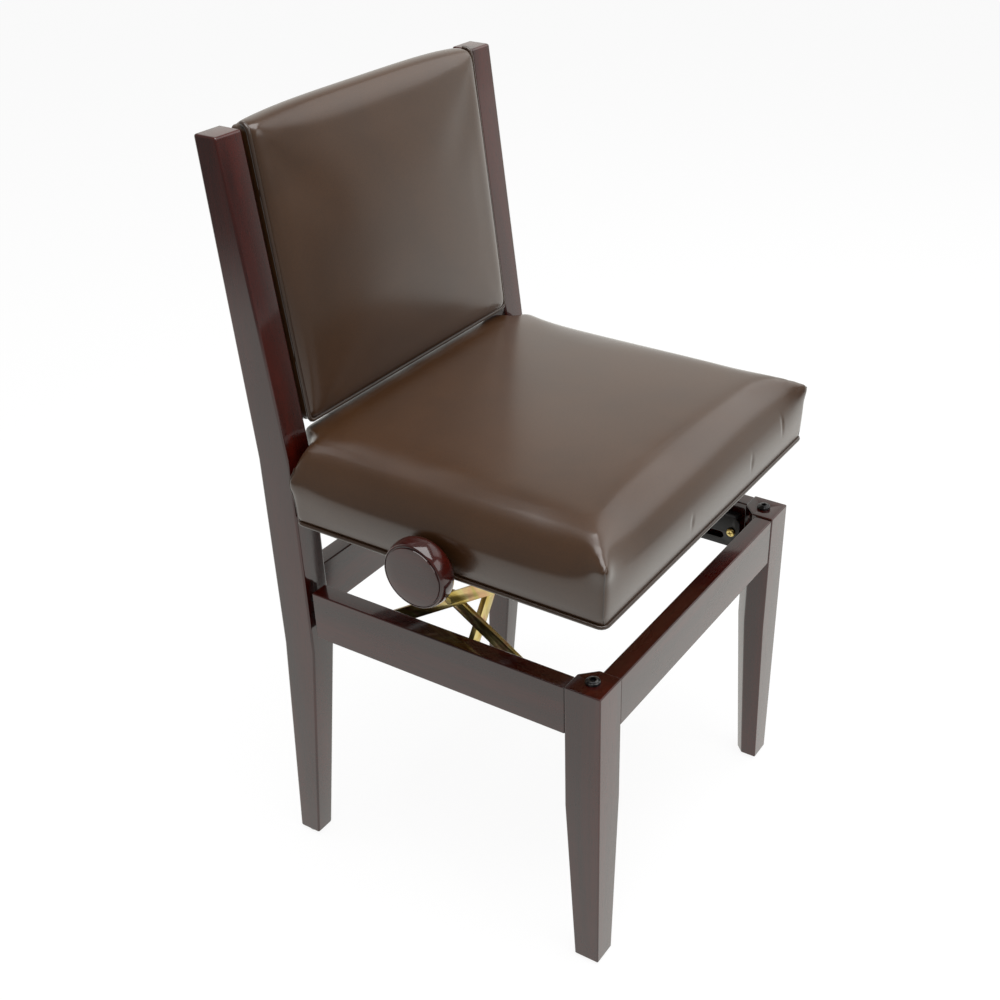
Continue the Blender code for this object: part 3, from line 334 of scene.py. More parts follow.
class Finish(Tree):
    """A material under way: its textures read the object's own coordinates, in metres."""

    def __init__(self, name):
        self.material = bpy.data.materials.new(name)
        self.material.use_nodes = True
        self.material.node_tree.nodes.clear()
        super().__init__(self.material.node_tree)
        self.place = self.add("ShaderNodeTexCoord", output="Object")

    def stretched(self, scale):
        return self.add("ShaderNodeMapping", inputs={"Vector": self.place, "Scale": scale})

    def bumped(self, height, strength, distance):
        inputs = {"Height": height, "Strength": strength, "Distance": distance}
        return self.add("ShaderNodeBump", inputs=inputs)

    def surface(self, sockets):
        shader = self.add("ShaderNodeBsdfPrincipled", inputs=sockets)
        self.add("ShaderNodeOutputMaterial", inputs={"Surface": shader})
        return self.material


# Finishes

def mahogany(name, grain):
    """Dark red wood under satin lacquer. The grain's scale is small along the wood's length."""
    finish = Finish(name)
    along = finish.stretched(grain)
    figure = finish.noise(along, 38.0, 4.0, 0.6)
    pores = finish.between(finish.noise(along, 950.0, 2.0), 0.56, 0.70)
    haze = finish.noise(finish.place, 9.0, 3.0)
    streaks = finish.between(figure, 0.30, 0.72)
    wood = finish.mix(streaks, rgb(0.026, 0.0019, 0.0010), rgb(0.062, 0.0042, 0.0019))
    colour = finish.mix(pores * 0.55, wood, rgb(0.008, 0.0012, 0.0008))
    return finish.surface({
        "Base Color": colour,
        "Roughness": 0.24 + haze * 0.08 + pores * 0.06,
        "Specular IOR Level": 0.10,
        "Normal": finish.bumped(1 - pores, 0.10, 0.0002),
        "Coat Weight": 0.85 + haze * 0.15,
        "Coat Roughness": 0.09,
        "Coat IOR": 1.62,
    })


def leatherette(name, light, dark, roughness):
    """Smooth brown leatherette: fine pebbled grain, faint creases and a soft sheen."""
    finish = Finish(name)
    edges = finish.add(
        "ShaderNodeTexVoronoi", {"feature": "DISTANCE_TO_EDGE"}, {"Vector": finish.place, "Scale": 900.0}
    )
    pebbles = finish.between(edges, 0.02, 0.22)
    fine = finish.noise(finish.place, 2600.0, 2.0)
    cloud = finish.noise(finish.place, 11.0, 4.0, 0.4)
    crease = finish.noise(finish.place, 90.0, 3.0, 1.2)
    colour = finish.mix(finish.between(cloud, 0.3, 0.7), dark, light)
    # Darker in the grooves between the pebbles: painted shade.
    colour = finish.mix((1 - pebbles) * 0.35, colour, rgb(0.018, 0.010, 0.006))
    height = pebbles * 0.8 + fine * 0.35 + crease * 0.5
    return finish.surface({
        "Base Color": colour,
        "Roughness": roughness + cloud * 0.07 - pebbles * 0.03,
        "Normal": finish.bumped(height, 0.07, 0.0004),
        "Specular IOR Level": 0.30,
        "Coat Weight": 0.80,
        "Coat Roughness": 0.21,
        "Coat IOR": 1.55,
    })


def yellow_zinc():
    """Yellow passivated zinc: gold with faint pink and green bands and fine rolling marks."""
    finish = Finish("yellow_zinc")
    bands = finish.noise(finish.stretched((1.0, 0.6, 0.6)), 34.0, 2.0, 1.6)
    rolled = finish.noise(finish.stretched((1.0, 0.08, 1.0)), 900.0, 2.0)
    stops = (
        (0.25, (0.42, 0.30, 0.06)),
        (0.42, (0.70, 0.53, 0.16)),
        (0.55, (0.78, 0.66, 0.30)),
        (0.66, (0.74, 0.46, 0.26)),
        (0.80, (0.50, 0.47, 0.14)),
    )
    film = finish.add("ShaderNodeValToRGB", {"stops": stops}, {"Fac": bands})
    return finish.surface({
        "Base Color": finish.mix(rolled * 0.25, film, rgb(0.30, 0.20, 0.04)),
        "Metallic": 1.0,
        "Roughness": 0.24 + rolled * 0.16,
        "Normal": finish.bumped(rolled, 0.06, 0.0002),
    })


def black_steel():
    """Satin black paint over pressed steel, with a light orange peel and rubbed specks."""
    finish = Finish("satin_black_steel")
    peel = finish.noise(finish.place, 420.0, 2.0)
    specks = finish.between(finish.noise(finish.place, 160.0, 5.0), 0.66, 0.74)
    return finish.surface({
        "Base Color": finish.mix(specks * 0.5, rgb(0.013, 0.013, 0.014), rgb(0.075, 0.072, 0.066)),
        "Roughness": 0.34 + peel * 0.16,
        "Normal": finish.bumped(peel, 0.10, 0.0003),
    })


def blued_steel():
    """Dark blued steel of the bolts, rubbed brighter in places."""
    finish = Finish("blued_steel")
    rubbed = finish.noise(finish.place, 240.0, 4.0)
    bright = finish.between(rubbed, 0.45, 0.70)
    return finish.surface({
        "Base Color": finish.mix(bright, rgb(0.050, 0.050, 0.052), grey(0.17)),
        "Metallic": 1.0,
        "Roughness": 0.26 + rubbed * 0.18,
        "Normal": finish.bumped(rubbed, 0.05, 0.0002),
    })


def drawn_steel():
    """Bright steel with drawing lines along its length."""
    finish = Finish("drawn_steel")
    lines = finish.noise(finish.stretched((0.03, 1.0, 1.0)), 1400.0, 2.0)
    stain = finish.noise(finish.place, 30.0, 4.0)
    return finish.surface({
        "Base Color": finish.mix(stain, rgb(0.42, 0.42, 0.43), rgb(0.60, 0.60, 0.61)),
        "Metallic": 1.0,
        "Roughness": 0.22 + lines * 0.20,
        "Normal": finish.bumped(lines, 0.05, 0.0002),
    })


def plywood(name, through):
    """Birch plywood: pale face grain, and plies that show as bands through its thickness."""
    finish = Finish(name)
    grain = finish.noise(finish.stretched((1.0, 0.07, 1.0)), 160.0, 4.0, 0.5)
    plies = finish.add(
        "ShaderNodeTexWave", {"bands_direction": through, "wave_profile": "SIN"},
        {"Vector": finish.place, "Scale": 110.0, "Distortion": 0.4}, "Fac",
    )
    face = finish.mix(grain, rgb(0.34, 0.21, 0.10), rgb(0.52, 0.36, 0.20))
    return finish.surface({
        "Base Color": finish.mix(finish.between(plies, 0.45, 0.75) * 0.35, face, rgb(0.20, 0.11, 0.05)),
        "Roughness": 0.62 + grain * 0.16,
        "Normal": finish.bumped(grain, 0.15, 0.0004),
    })


def nylon():
    """Moulded black nylon."""
    finish = Finish("black_nylon")
    spark = finish.noise(finish.place, 700.0, 3.0)
    return finish.surface({
        "Base Color": finish.mix(spark, rgb(0.012, 0.012, 0.013), rgb(0.030, 0.030, 0.031)),
        "Roughness": 0.48 + spark * 0.14,
        "Normal": finish.bumped(spark, 0.12, 0.0003),
    })


GRAIN_STRETCH = 0.055
UPRIGHT = mahogany("mahogany_upright", (1.0, 1.0, GRAIN_STRETCH))
FORE_AND_AFT = mahogany("mahogany_fore_and_aft", (1.0, GRAIN_STRETCH, 1.0))
CROSSWISE = mahogany("mahogany_crosswise", (GRAIN_STRETCH, 1.0, 1.0))
LEATHER = leatherette("brown_leatherette", rgb(0.070, 0.0285, 0.0090), rgb(0.056, 0.0225, 0.0070), 0.32)
# A darker copy of the cover's leather, for the piping and the corner seams: painted shade along the piping
# and in the seams' grooves.
PIPING_WITH_PAINTED_SHADE = leatherette("leatherette_piping", rgb(0.046, 0.020, 0.0080), rgb(0.034, 0.015, 0.0060), 0.36)
ZINC = yellow_zinc()
BLACK = black_steel()
BOLT = blued_steel()
STEEL = drawn_steel()
SEAT_PLY = plywood("plywood_seat", "Z")
BACK_PLY = plywood("plywood_back", "Y")
NYLON = nylon()


# Pieces

def new_piece(name, mesh, finish, slot, body, *stood_for):
    """A finished piece at the origin, which rides on a body and stands for solids."""
    piece = bpy.data.objects.new(name, mesh)
    bpy.context.scene.collection.objects.link(piece)
    mesh.materials.clear()
    mesh.materials.append(finish)
    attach(piece, body)
    if stood_for:
        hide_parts(*stood_for)
    return piece


def dress(finish, slot, *nodes):
    """Give solids that keep their shape a better material."""
    for node in nodes:
        NODES[node].data.materials.clear()
        NODES[node].data.materials.append(finish)


def both(*stems):
    return [f"{stem}_{side}" for stem in stems for side in SIDES]


def welded(node):
    """A node's shape as one joined mesh with its flat faces whole."""
    shape = bmesh.new()
    shape.from_mesh(NODES[node].data)
    bmesh.ops.remove_doubles(shape, verts=shape.verts, dist=WELD)
    bmesh.ops.dissolve_limit(shape, angle_limit=FLAT, verts=shape.verts, edges=shape.edges)
    return as_mesh(shape, node)


def as_mesh(shape, name):
    mesh = bpy.data.meshes.new(name)
    shape.to_mesh(mesh)
    shape.free()
    return mesh


def smooth_between_edges(mesh):
    mesh.shade_smooth()
    mesh.set_sharp_from_angle(angle=SHARP)
    return mesh


def wooden(node, finish):
    """The node with even light over its rounded edges."""
    mesh = smooth_between_edges(welded(node))
    piece = new_piece(f"lacquered_{node}", mesh, finish, "mahogany_lacquer", BODY_OF[node], node)
    weights = piece.modifiers.new("even_light", "WEIGHTED_NORMAL")
    weights.keep_sharp = True


def pressed(node, finish, slot):
    """The node with the small round edges of cut or pressed steel."""
    piece = new_piece(f"eased_{node}", welded(node), finish, slot, BODY_OF[node], node)
    piece.data.shade_smooth()
    bevel = piece.modifiers.new("eased_edges", "BEVEL")
    bevel.width = STEEL_EASE
    bevel.segments = 2
    bevel.limit_method = "ANGLE"
    bevel.angle_limit = SHARP
    bevel.harden_normals = True


def rings_to_mesh(name, rings):
    """A closed shape through rings of points. A ring of one point is a pole."""
    shape = bmesh.new()
    made = [[shape.verts.new(point) for point in ring] for ring in rings]
    for low, high in zip(made, made[1:]):
        count = max(len(low), len(high))
        for step in range(count):
            after = (step + 1) % count
            corners = [low[step % len(low)], low[after % len(low)]]
            corners += [high[after % len(high)], high[step % len(high)]]
            shape.faces.new(list(dict.fromkeys(corners)))
    for end in (made[0], made[-1]):
        if len(end) > 2:
            shape.faces.new(end)
    bmesh.ops.recalc_face_normals(shape, faces=shape.faces)
    return as_mesh(shape, name)


def turned(name, profile, at, direction):
    """A shape turned about a line.

    A profile point is a radius and a distance along the line. A third value makes it six-sided.
    """
    turn = Vector((0, 0, 1)).rotation_difference(Vector(direction)).to_matrix()
    rings = []
    for radius, along, *six_sided in profile:
        ring = []
        for step in range(TURN_STEPS if radius > 0 else 1):
            angle = math.tau * step / TURN_STEPS
            flat = math.cos(math.pi / 6) / math.cos((angle % (math.pi / 3)) - math.pi / 6)
            reach = radius * flat if six_sided else radius
            spot = Vector((reach * math.cos(angle), reach * math.sin(angle), along))
            ring.append(Vector(at) + turn @ spot)
        rings.append(ring)
    return smooth_between_edges(rings_to_mesh(name, rings))


def rounded_step(radius, along, size, steps=4):
    """Profile points round the outer edge of a turned shape, from its side to its end."""
    points = []
    for step in range(steps + 1):
        angle = math.pi / 2 * step / steps
        points.append((radius - size + size * math.cos(angle), along - size + size * math.sin(angle)))
    return points


def centre_of(node):
    low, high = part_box(node)
    return (low + high) / 2


# Trees that make what repeats or follows a path

def new_tree(name, sizes):
    """A geometry tree with named sizes, and the socket for each."""
    group = bpy.data.node_groups.new(name, "GeometryNodeTree")
    group.interface.new_socket("Geometry", in_out="INPUT", socket_type="NodeSocketGeometry")
    for size, kind in sizes.items():
        group.interface.new_socket(size, in_out="INPUT", socket_type=f"NodeSocket{kind}")
    group.interface.new_socket("Geometry", in_out="OUTPUT", socket_type="NodeSocketGeometry")
    tree = Tree(group)
    given = group.nodes.new("NodeGroupInput")
    return tree, {socket.name: Socket(tree, socket) for socket in given.outputs if socket.name}


def close_tree(tree, shape, finish, smooth):
    """Every tree ends in realized geometry with its material set."""
    real = tree.add("GeometryNodeRealizeInstances", inputs={"Geometry": shape})
    shaded = tree.add("GeometryNodeSetShadeSmooth", inputs={"Geometry": real, "Shade Smooth": smooth})
    painted = tree.add("GeometryNodeSetMaterial", inputs={"Geometry": shaded, "Material": finish})
    tree.add("NodeGroupOutput", inputs={"Geometry": painted})
    return tree.nodes


def tube(tree, path, sides, radius):
    """A closed tube along a path."""
    section = tree.add("GeometryNodeCurvePrimitiveCircle", inputs={"Resolution": sides, "Radius": radius})
    inputs = {"Curve": path, "Profile Curve": section, "Fill Caps": True}
    return tree.add("GeometryNodeCurveToMesh", inputs=inputs)


def raised(tree, shape, height):
    lift = tree.add("ShaderNodeCombineXYZ", inputs={"Z": height})
    return tree.add("GeometryNodeTransform", inputs={"Geometry": shape, "Translation": lift})


def piping_tree():
    """Round piping along each chain of edges in the guide."""
    tree, given = new_tree("piping", {"Radius": "Float", "Spacing": "Float", "Finish": "Material"})
    path = tree.add("GeometryNodeMeshToCurve", inputs={"Mesh": given["Geometry"]})
    inputs = {"Curve": path, "Length": given["Spacing"]}
    even = tree.add("GeometryNodeResampleCurve", {"mode": "LENGTH"}, inputs)
    return close_tree(tree, tube(tree, even, PIPING_SIDES, given["Radius"]), given["Finish"], True)


def thread_tree():
    """A screw thread as a ridge wound round the guide's place, along Z."""
    sizes = {name: "Float" for name in ("Radius", "Height", "Turns", "Ridge")}
    tree, given = new_tree("thread", {**sizes, "Left Hand": "Bool", "Finish": "Material"})
    winding = tree.add("GeometryNodeCurveSpiral", inputs={
        "Resolution": THREAD_STEPS,
        "Rotations": given["Turns"],
        "Start Radius": given["Radius"],
        "End Radius": given["Radius"],
        "Height": given["Height"],
        "Reverse": given["Left Hand"],
    })
    return close_tree(tree, tube(tree, winding, THREAD_SIDES, given["Ridge"]), given["Finish"], False)


def cross_head_tree():
    """A cross-head bolt on each of the guide's points, facing along the point's own direction."""
    names = ("Head Radius", "Head Height", "Shank Radius", "Shank Length", "Slot")
    sizes = {name: "Float" for name in names}
    tree, given = new_tree("cross_head_bolts", {**sizes, "Seed": "Int", "Finish": "Material"})
    radius = given["Head Radius"]
    height = given["Head Height"]
    head = tree.add("GeometryNodeMeshCylinder", inputs={
        "Vertices": HEAD_SIDES, "Radius": radius, "Depth": height,
    })
    head = raised(tree, head, height * 0.5)
    dome = tree.add("GeometryNodeMeshUVSphere", inputs={
        "Segments": HEAD_SIDES, "Rings": HEAD_SIDES // 2, "Radius": radius,
    })
    flatness = height / radius * DOME_FLATNESS
    flat = tree.add("ShaderNodeCombineXYZ", inputs={"X": 1.0, "Y": 1.0, "Z": flatness})
    dome = tree.add("GeometryNodeTransform", inputs={"Geometry": dome, "Scale": flat})
    dome = raised(tree, dome, height * DOME_RISE)
    head = tree.add("GeometryNodeMeshBoolean", {"operation": "INTERSECT"}, {"Mesh 2": [head, dome]})
    slots = []
    for wide, narrow in (("X", "Y"), ("Y", "X")):
        size = tree.add("ShaderNodeCombineXYZ", inputs={
            wide: radius * SLOT_LENGTH, narrow: given["Slot"], "Z": height,
        })
        bar = tree.add("GeometryNodeMeshCube", inputs={"Size": size})
        slots.append(raised(tree, bar, height * SLOT_RISE))
    cut = {"Mesh 1": head, "Mesh 2": slots}
    head = tree.add("GeometryNodeMeshBoolean", {"operation": "DIFFERENCE"}, cut)
    shank = tree.add("GeometryNodeMeshCylinder", inputs={
        "Vertices": SHANK_SIDES, "Radius": given["Shank Radius"], "Depth": given["Shank Length"],
    })
    shank = raised(tree, shank, given["Shank Length"] * -0.5)
    bolt = tree.add("GeometryNodeJoinGeometry", inputs={"Geometry": [head, shank]})
    kind = {"data_type": "FLOAT_VECTOR"}
    facing = tree.add("GeometryNodeInputNamedAttribute", kind, {"Name": "facing"})
    turn = tree.add("FunctionNodeAlignRotationToVector", {"axis": "Z"}, {"Vector": facing})
    limits = {2: 0.0, 3: math.pi, "Seed": given["Seed"]}
    spin = tree.add("FunctionNodeRandomValue", inputs=limits, output=1)
    twist = tree.add("ShaderNodeCombineXYZ", inputs={"Z": spin})
    inputs = {"Rotation": turn, "Rotate By": twist}
    turn = tree.add("FunctionNodeRotateRotation", {"rotation_space": "LOCAL"}, inputs)
    bolts = tree.add("GeometryNodeInstanceOnPoints", inputs={
        "Points": given["Geometry"], "Instance": bolt, "Rotation": turn,
    })
    return close_tree(tree, bolts, given["Finish"], False)


def grown(guide_mesh, group, sizes):
    """The plain mesh that a tree makes from a guide."""
    guide = bpy.data.objects.new(group.name, guide_mesh)
    bpy.context.scene.collection.objects.link(guide)
    modifier = guide.modifiers.new(group.name, "NODES")
    modifier.node_group = group
    for item in group.interface.items_tree:
        if item.in_out == "INPUT" and item.name in sizes:
            modifier[item.identifier] = sizes[item.name]
    graph = bpy.context.evaluated_depsgraph_get()
    mesh = bpy.data.meshes.new_from_object(guide.evaluated_get(graph))
    bpy.data.objects.remove(guide)
    return mesh


def path_mesh(name, paths, closed):
    """A guide of edges along paths of points."""
    points = []
    edges = []
    for path in paths:
        first = len(points)
        points += [tuple(point) for point in path]
        edges += [(first + step, first + step + 1) for step in range(len(path) - 1)]
        if closed:
            edges.append((first + len(path) - 1, first))
    mesh = bpy.data.meshes.new(name)
    mesh.from_pydata(points, edges, [])
    return mesh


# Soft forms

def arc_points(centre, radius, start, steps=CORNER_STEPS):
    turns = [start + math.pi / 2 * step / steps for step in range(steps + 1)]
    return [(centre[0] + radius * math.cos(turn), centre[1] + radius * math.sin(turn)) for turn in turns]


def round_outline(half_width, half_height, corner):
    """Points round a rectangle with round corners, with points along its sides."""
    points = []
    for number, (across, up) in enumerate(((1, 1), (-1, 1), (-1, -1), (1, -1))):
        centre = (across * (half_width - corner), up * (half_height - corner))
        points += arc_points(centre, corner, number * math.pi / 2)
    outline = []
    for step, point in enumerate(points):
        outline.append(point)
        if (step + 1) % (CORNER_STEPS + 1) == 0:
            after = points[(step + 1) % len(points)]
            for number in range(1, SIDE_STEPS + 1):
                share = number / (SIDE_STEPS + 1)
                outline.append((blend(share, point[0], after[0]), blend(share, point[1], after[1])))
    return outline


def pillow(name, half_width, half_height, corner, profile, crown):
    """A closed pillow: up a profile of outsets and heights round its outline, then in to its crown.

    The profile is asked for with the point's place, from -1 to 1 across and up, and its share in the top.
    """
    columns = []
    for x, y in round_outline(half_width, half_height, corner):
        across = x / half_width
        up = y / half_height
        outward = Vector((across ** SQUARENESS, up ** SQUARENESS, 0.0)).normalized()
        levels = profile(across, up, max(0.0, outward.y) ** 2)
        columns.append([Vector((x, y, height)) + outset * outward for outset, height in levels])
    edges = [column[-1] for column in columns]
    rim = max(edge.z for edge in edges)
    inner_width = min(abs(edge.x) for edge in edges if abs(edge.y) < half_height / 2)
    inner_height = min(abs(edge.y) for edge in edges if abs(edge.x) < half_width / 2)
    for column, edge in zip(columns, edges):
        for step in range(1, CROWN_STEPS):
            share = 1 - step / CROWN_STEPS
            across = min(1.0, abs(share * edge.x) / inner_width)
            up = min(1.0, abs(share * edge.y) / inner_height)
            height = blend((1 - across ** CROWN_FALL) * (1 - up ** CROWN_FALL), rim, crown)
            below = (rim - edge.z) * share ** RIM_FALL
            column.append(Vector((share * edge.x, share * edge.y, height - below)))
    return rings_to_mesh(name, list(zip(*columns)))


def rolled(outset, start, reach, rise):
    """Outsets and heights round an edge, from upright to level."""
    turns = [math.pi / 2 * step / ROLL_STEPS for step in range(1, ROLL_STEPS + 1)]
    return [(outset - reach * (1 - math.cos(turn)), start + rise * math.sin(turn)) for turn in turns]


def blend(share, first, second):
    return first + share * (second - first)


def modified(mesh, kind, **settings):
    """The mesh after one modifier."""
    holder = bpy.data.objects.new(mesh.name, mesh)
    bpy.context.scene.collection.objects.link(holder)
    modifier = holder.modifiers.new(kind, kind)
    for name, value in settings.items():
        setattr(modifier, name, value)
    graph = bpy.context.evaluated_depsgraph_get()
    made = bpy.data.meshes.new_from_object(holder.evaluated_get(graph))
    bpy.data.objects.remove(holder)
    return made


def softened(mesh, rounds):
    """The mesh smoothed over some rounds and made finer."""
    mesh = modified(mesh, "SMOOTH", factor=0.5, iterations=rounds)
    return modified(mesh, "SUBSURF", levels=1, render_levels=1)


def points_of(mesh):
    points = np.zeros(len(mesh.vertices) * 3, np.float32)
    mesh.vertices.foreach_get("co", points)
    return points.reshape(-1, 3).astype(float)


def set_points(mesh, points):
    mesh.vertices.foreach_set("co", points.astype(np.float32).ravel())
    mesh.update()


def swollen(mesh, held, limit):
    """Blow the cover up as cloth from its start, held at some points, and no further than a limit."""
    start = points_of(mesh)
    scene = bpy.context.scene
    holder = bpy.data.objects.new(mesh.name, mesh)
    scene.collection.objects.link(holder)
    pins = holder.vertex_groups.new(name="held")
    pins.add([int(index) for index in np.flatnonzero(held)], 1.0, "REPLACE")
    cloth = holder.modifiers.new("cover", "CLOTH")
    for name, value in CLOTH.items():
        setattr(cloth.settings, name, value)
    cloth.settings.vertex_group_mass = pins.name
    cloth.settings.effector_weights.gravity = 0.0
    cloth.point_cache.frame_start = 1
    cloth.point_cache.frame_end = FRAMES
    for number in range(1, FRAMES + 1):
        scene.frame_set(number)
    graph = bpy.context.evaluated_depsgraph_get()
    made = bpy.data.meshes.new_from_object(holder.evaluated_get(graph))
    bpy.data.objects.remove(holder)
    scene.frame_set(1)
    moved = points_of(made) - start
    length = np.linalg.norm(moved, axis=1, keepdims=True)
    moved = evened(made, moved * np.minimum(1.0, limit / np.maximum(length, WELD)))
    moved[held] = 0.0
    set_points(made, start + moved)
    return made


def evened(mesh, values):
    """Values at a mesh's points, each drawn several times to the mean of its neighbours."""
    ends = np.zeros(len(mesh.edges) * 2, np.int32)
    mesh.edges.foreach_get("vertices", ends)
    first, second = ends.reshape(-1, 2).T
    count = np.bincount(ends, minlength=len(values))[:, None]
    for _ in range(EVENING):
        total = np.zeros_like(values)
        np.add.at(total, first, values[second])
        np.add.at(total, second, values[first])
        values = (values + total / count) / 2
    return values


def lined(mesh, opening, inner, depth):
    """Cut the cover open below a height and line it: in to an outline, up to a depth and across."""
    shape = bmesh.new()
    shape.from_mesh(mesh)
    everything = [*shape.verts, *shape.edges, *shape.faces]
    bmesh.ops.bisect_plane(
        shape, geom=everything, plane_co=(0, 0, opening), plane_no=(0, 0, 1), clear_inner=True
    )
    rim = [edge for edge in shape.edges if edge.is_boundary]
    for height in (opening, depth):
        made = bmesh.ops.extrude_edge_only(shape, edges=rim)["geom"]
        for vert in (item for item in made if isinstance(item, bmesh.types.BMVert)):
            x, y = onto_outline(vert.co.x, vert.co.y, *inner)
            vert.co = (x, y, height)
        rim = [item for item in made if isinstance(item, bmesh.types.BMEdge)]
    bmesh.ops.contextual_create(shape, geom=rim)
    bmesh.ops.recalc_face_normals(shape, faces=shape.faces)
    return as_mesh(shape, mesh.name)


def onto_outline(x, y, half_width, half_height, corner):
    """The nearest point on a rectangle with round corners."""
    across = half_width - corner
    up = half_height - corner
    core = Vector((max(-across, min(across, x)), max(-up, min(up, y))))
    away = Vector((x, y)) - core
    if away.length < WELD:
        return x, y
    return core + away.normalized() * corner


def piping(name, paths, closed, radius):
    sizes = {"Radius": radius, "Spacing": PIPING_SPACING, "Finish": PIPING_WITH_PAINTED_SHADE}
    return grown(path_mesh(name, paths, closed), PIPING_TREE, sizes)


# Seat

def seat_frame_box():
    """The corners of the box round the seat frame's bars, and half of its width and depth."""
    boxes = [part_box(f"seat_frame_{place}") for place in ("front", "rear", *SIDES)]
    low = Vector([min(box[0][axis] for box in boxes) for axis in range(3)])
    high = Vector([max(box[1][axis] for box in boxes) for axis in range(3)])
    return low, high, (high.x - low.x) / 2, (high.y - low.y) / 2


def eased(share):
    """From 0 to 1, with a level start and end."""
    share = min(1.0, max(0.0, share))
    return share * share * (3 - 2 * share)


def quarter_round(distance, reach):
    """The drop of a rolled edge, from 0 where its roll starts to 1 where it stands upright."""
    return 1 - math.sqrt(1 - min(1.0, max(0.0, 1 - distance / reach)) ** ROLL_ONSET)


def seat_place(across, along, half_width, half_depth):
    """A point of the seat's top, from its place between -1 and 1 across and along it.

    Each side rolls over widely, but tightly at the ears. The rear bulges back between the posts.
    """
    ear_across = abs(across) ** EAR_FALL
    ear_along = abs(along) ** EAR_FALL
    width = half_width + blend(ear_along, SIDE_OUTSET, EAR_OUTSET)
    depth = half_depth + blend(ear_across, SIDE_OUTSET, EAR_OUTSET)
    top = SEAT_CROWN - (SEAT_CROWN - SIDE_ROLL_TOP) * abs(across) ** CROWN_FALL
    if along > 0:
        inside = BULGE_EDGE - abs(across) * half_width
        beside = max(0.0, -inside / (half_width - BULGE_EDGE))
        depth += REAR_BULGE * eased(inside / BULGE_SIDE)
        side_start = blend(ear_along, SIDE_TOP, REAR_EAR_TOP)
        side_reach = blend(ear_along, ROLL_REACH, REAR_EAR_REACH)
        end_start = blend(beside, REAR_TOP, REAR_EAR_TOP)
        end_reach = blend(beside, REAR_REACH, REAR_EAR_REACH)
    else:
        top -= (SEAT_CROWN - FRONT_ROLL_TOP) * abs(along) ** CROWN_FALL
        side_start = blend(ear_along, SIDE_TOP, EAR_TOP)
        side_reach = blend(ear_along, ROLL_REACH, EAR_REACH)
        end_start = blend(ear_across, SIDE_TOP, EAR_TOP)
        end_reach = blend(ear_across, ROLL_REACH, EAR_REACH)
    side_drop = (top - side_start) * quarter_round(width * (1 - abs(across)), side_reach)
    end_drop = (top - end_start) * quarter_round(depth * (1 - abs(along)), end_reach)
    drop = (side_drop ** CORNER_BLEND + end_drop ** CORNER_BLEND) ** (1 / CORNER_BLEND)
    return Vector((across * width, along * depth, top - drop))


def seat_form(half_width, half_depth):
    """The seat's cover before it swells: up the leaning boxing, and in over the rolls to the crown."""
    side = [math.sin(math.pi / 2 * (2 * step / SEAT_SIDE_STEPS - 1)) for step in range(SEAT_SIDE_STEPS)]
    loop = [(at, -1) for at in side] + [(1, at) for at in side]
    loop += [(-at, 1) for at in side] + [(-1, -at) for at in side]
    rings = []
    for step in range(WALL_STEPS):
        share = step / WALL_STEPS
        lean = math.sin(share * math.pi / 2)
        ring = []
        for across, along in loop:
            edge = seat_place(across, along, half_width, half_depth)
            x = blend(lean, across * (half_width + FOOT_OUTSET), edge.x)
            y = blend(lean, along * (half_depth + FOOT_OUTSET), edge.y)
            ring.append((x, y, blend(share, COVER_FOOT - TUCK, edge.z)))
        rings.append(ring)
    for step in range(SEAT_TOP_STEPS):
        size = math.cos(math.pi / 2 * step / SEAT_TOP_STEPS)
        places = [(size * across, size * along) for across, along in loop]
        rings.append([seat_place(*place, half_width, half_depth) for place in places])
    rings.append([seat_place(0.0, 0.0, half_width, half_depth)])
    return rings_to_mesh("seat_cover", rings)


def seat_cover():
    """The boxed leather cover over the seat frame, in one with its crowned top."""
    low, high, half_width, half_depth = seat_frame_box()
    mesh = modified(seat_form(half_width, half_depth), "REMESH", mode="VOXEL", voxel_size=VOXEL)
    mesh = swollen(mesh, points_of(mesh)[:, 2] < 3 * VOXEL, SEAT_SWELL)
    mesh = softened(mesh, SEAT_SMOOTHING)
    pull_ears(mesh, half_width, half_depth)
    pucker(mesh, half_depth)
    inner = (half_width + COVER_GAP, half_depth + COVER_GAP, SEAT_CORNER + COVER_GAP)
    board_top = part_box("seat_board")[1].z - low.z + COVER_GAP
    mesh = lined(mesh, COVER_FOOT, inner, board_top)
    mesh.transform(Matrix.Translation(((low.x + high.x) / 2, (low.y + high.y) / 2, low.z)))
    mesh = smooth_between_edges(with_screw_hole(mesh, low.x))
    piece = new_piece("seat_cover", mesh, LEATHER, "brown_leatherette", "seat", "seat_cushion")
    return piece


def with_screw_hole(mesh, side):
    """The cover with a hole through its boxing, where the lift screw comes out."""
    axis = centre_of("lift_screw")
    radius = SCREW_RADIUS + HOLE_PLAY
    profile = [(0.0, -HOLE_DEPTH), (radius, -HOLE_DEPTH), (radius, HOLE_DEPTH), (0.0, HOLE_DEPTH)]
    shape = turned("screw_hole", profile, (side, axis.y, axis.z), (1, 0, 0))
    drill = bpy.data.objects.new("screw_hole", shape)
    bpy.context.scene.collection.objects.link(drill)
    mesh = modified(mesh, "BOOLEAN", operation="DIFFERENCE", solver="EXACT", object=drill)
    bpy.data.objects.remove(drill)
    return mesh


def pull_ears(mesh, half_width, half_depth):
    """Draw the corners out to the points where the boxing's seams end, the rear ones lower and less."""
    points = points_of(mesh)
    for across in (-1, 1):
        for along, height, push in ((-1, EAR_TOP, EAR_PUSH), (1, REAR_EAR_TOP, REAR_EAR_PUSH)):
            tip = np.array((across * half_width, along * half_depth, height))
            near = np.exp(-((points - tip) ** 2).sum(1) / EAR_SIZE ** 2)
            points += push * near[:, None] * np.array((across, along, EAR_LIFT))
    set_points(mesh, points)


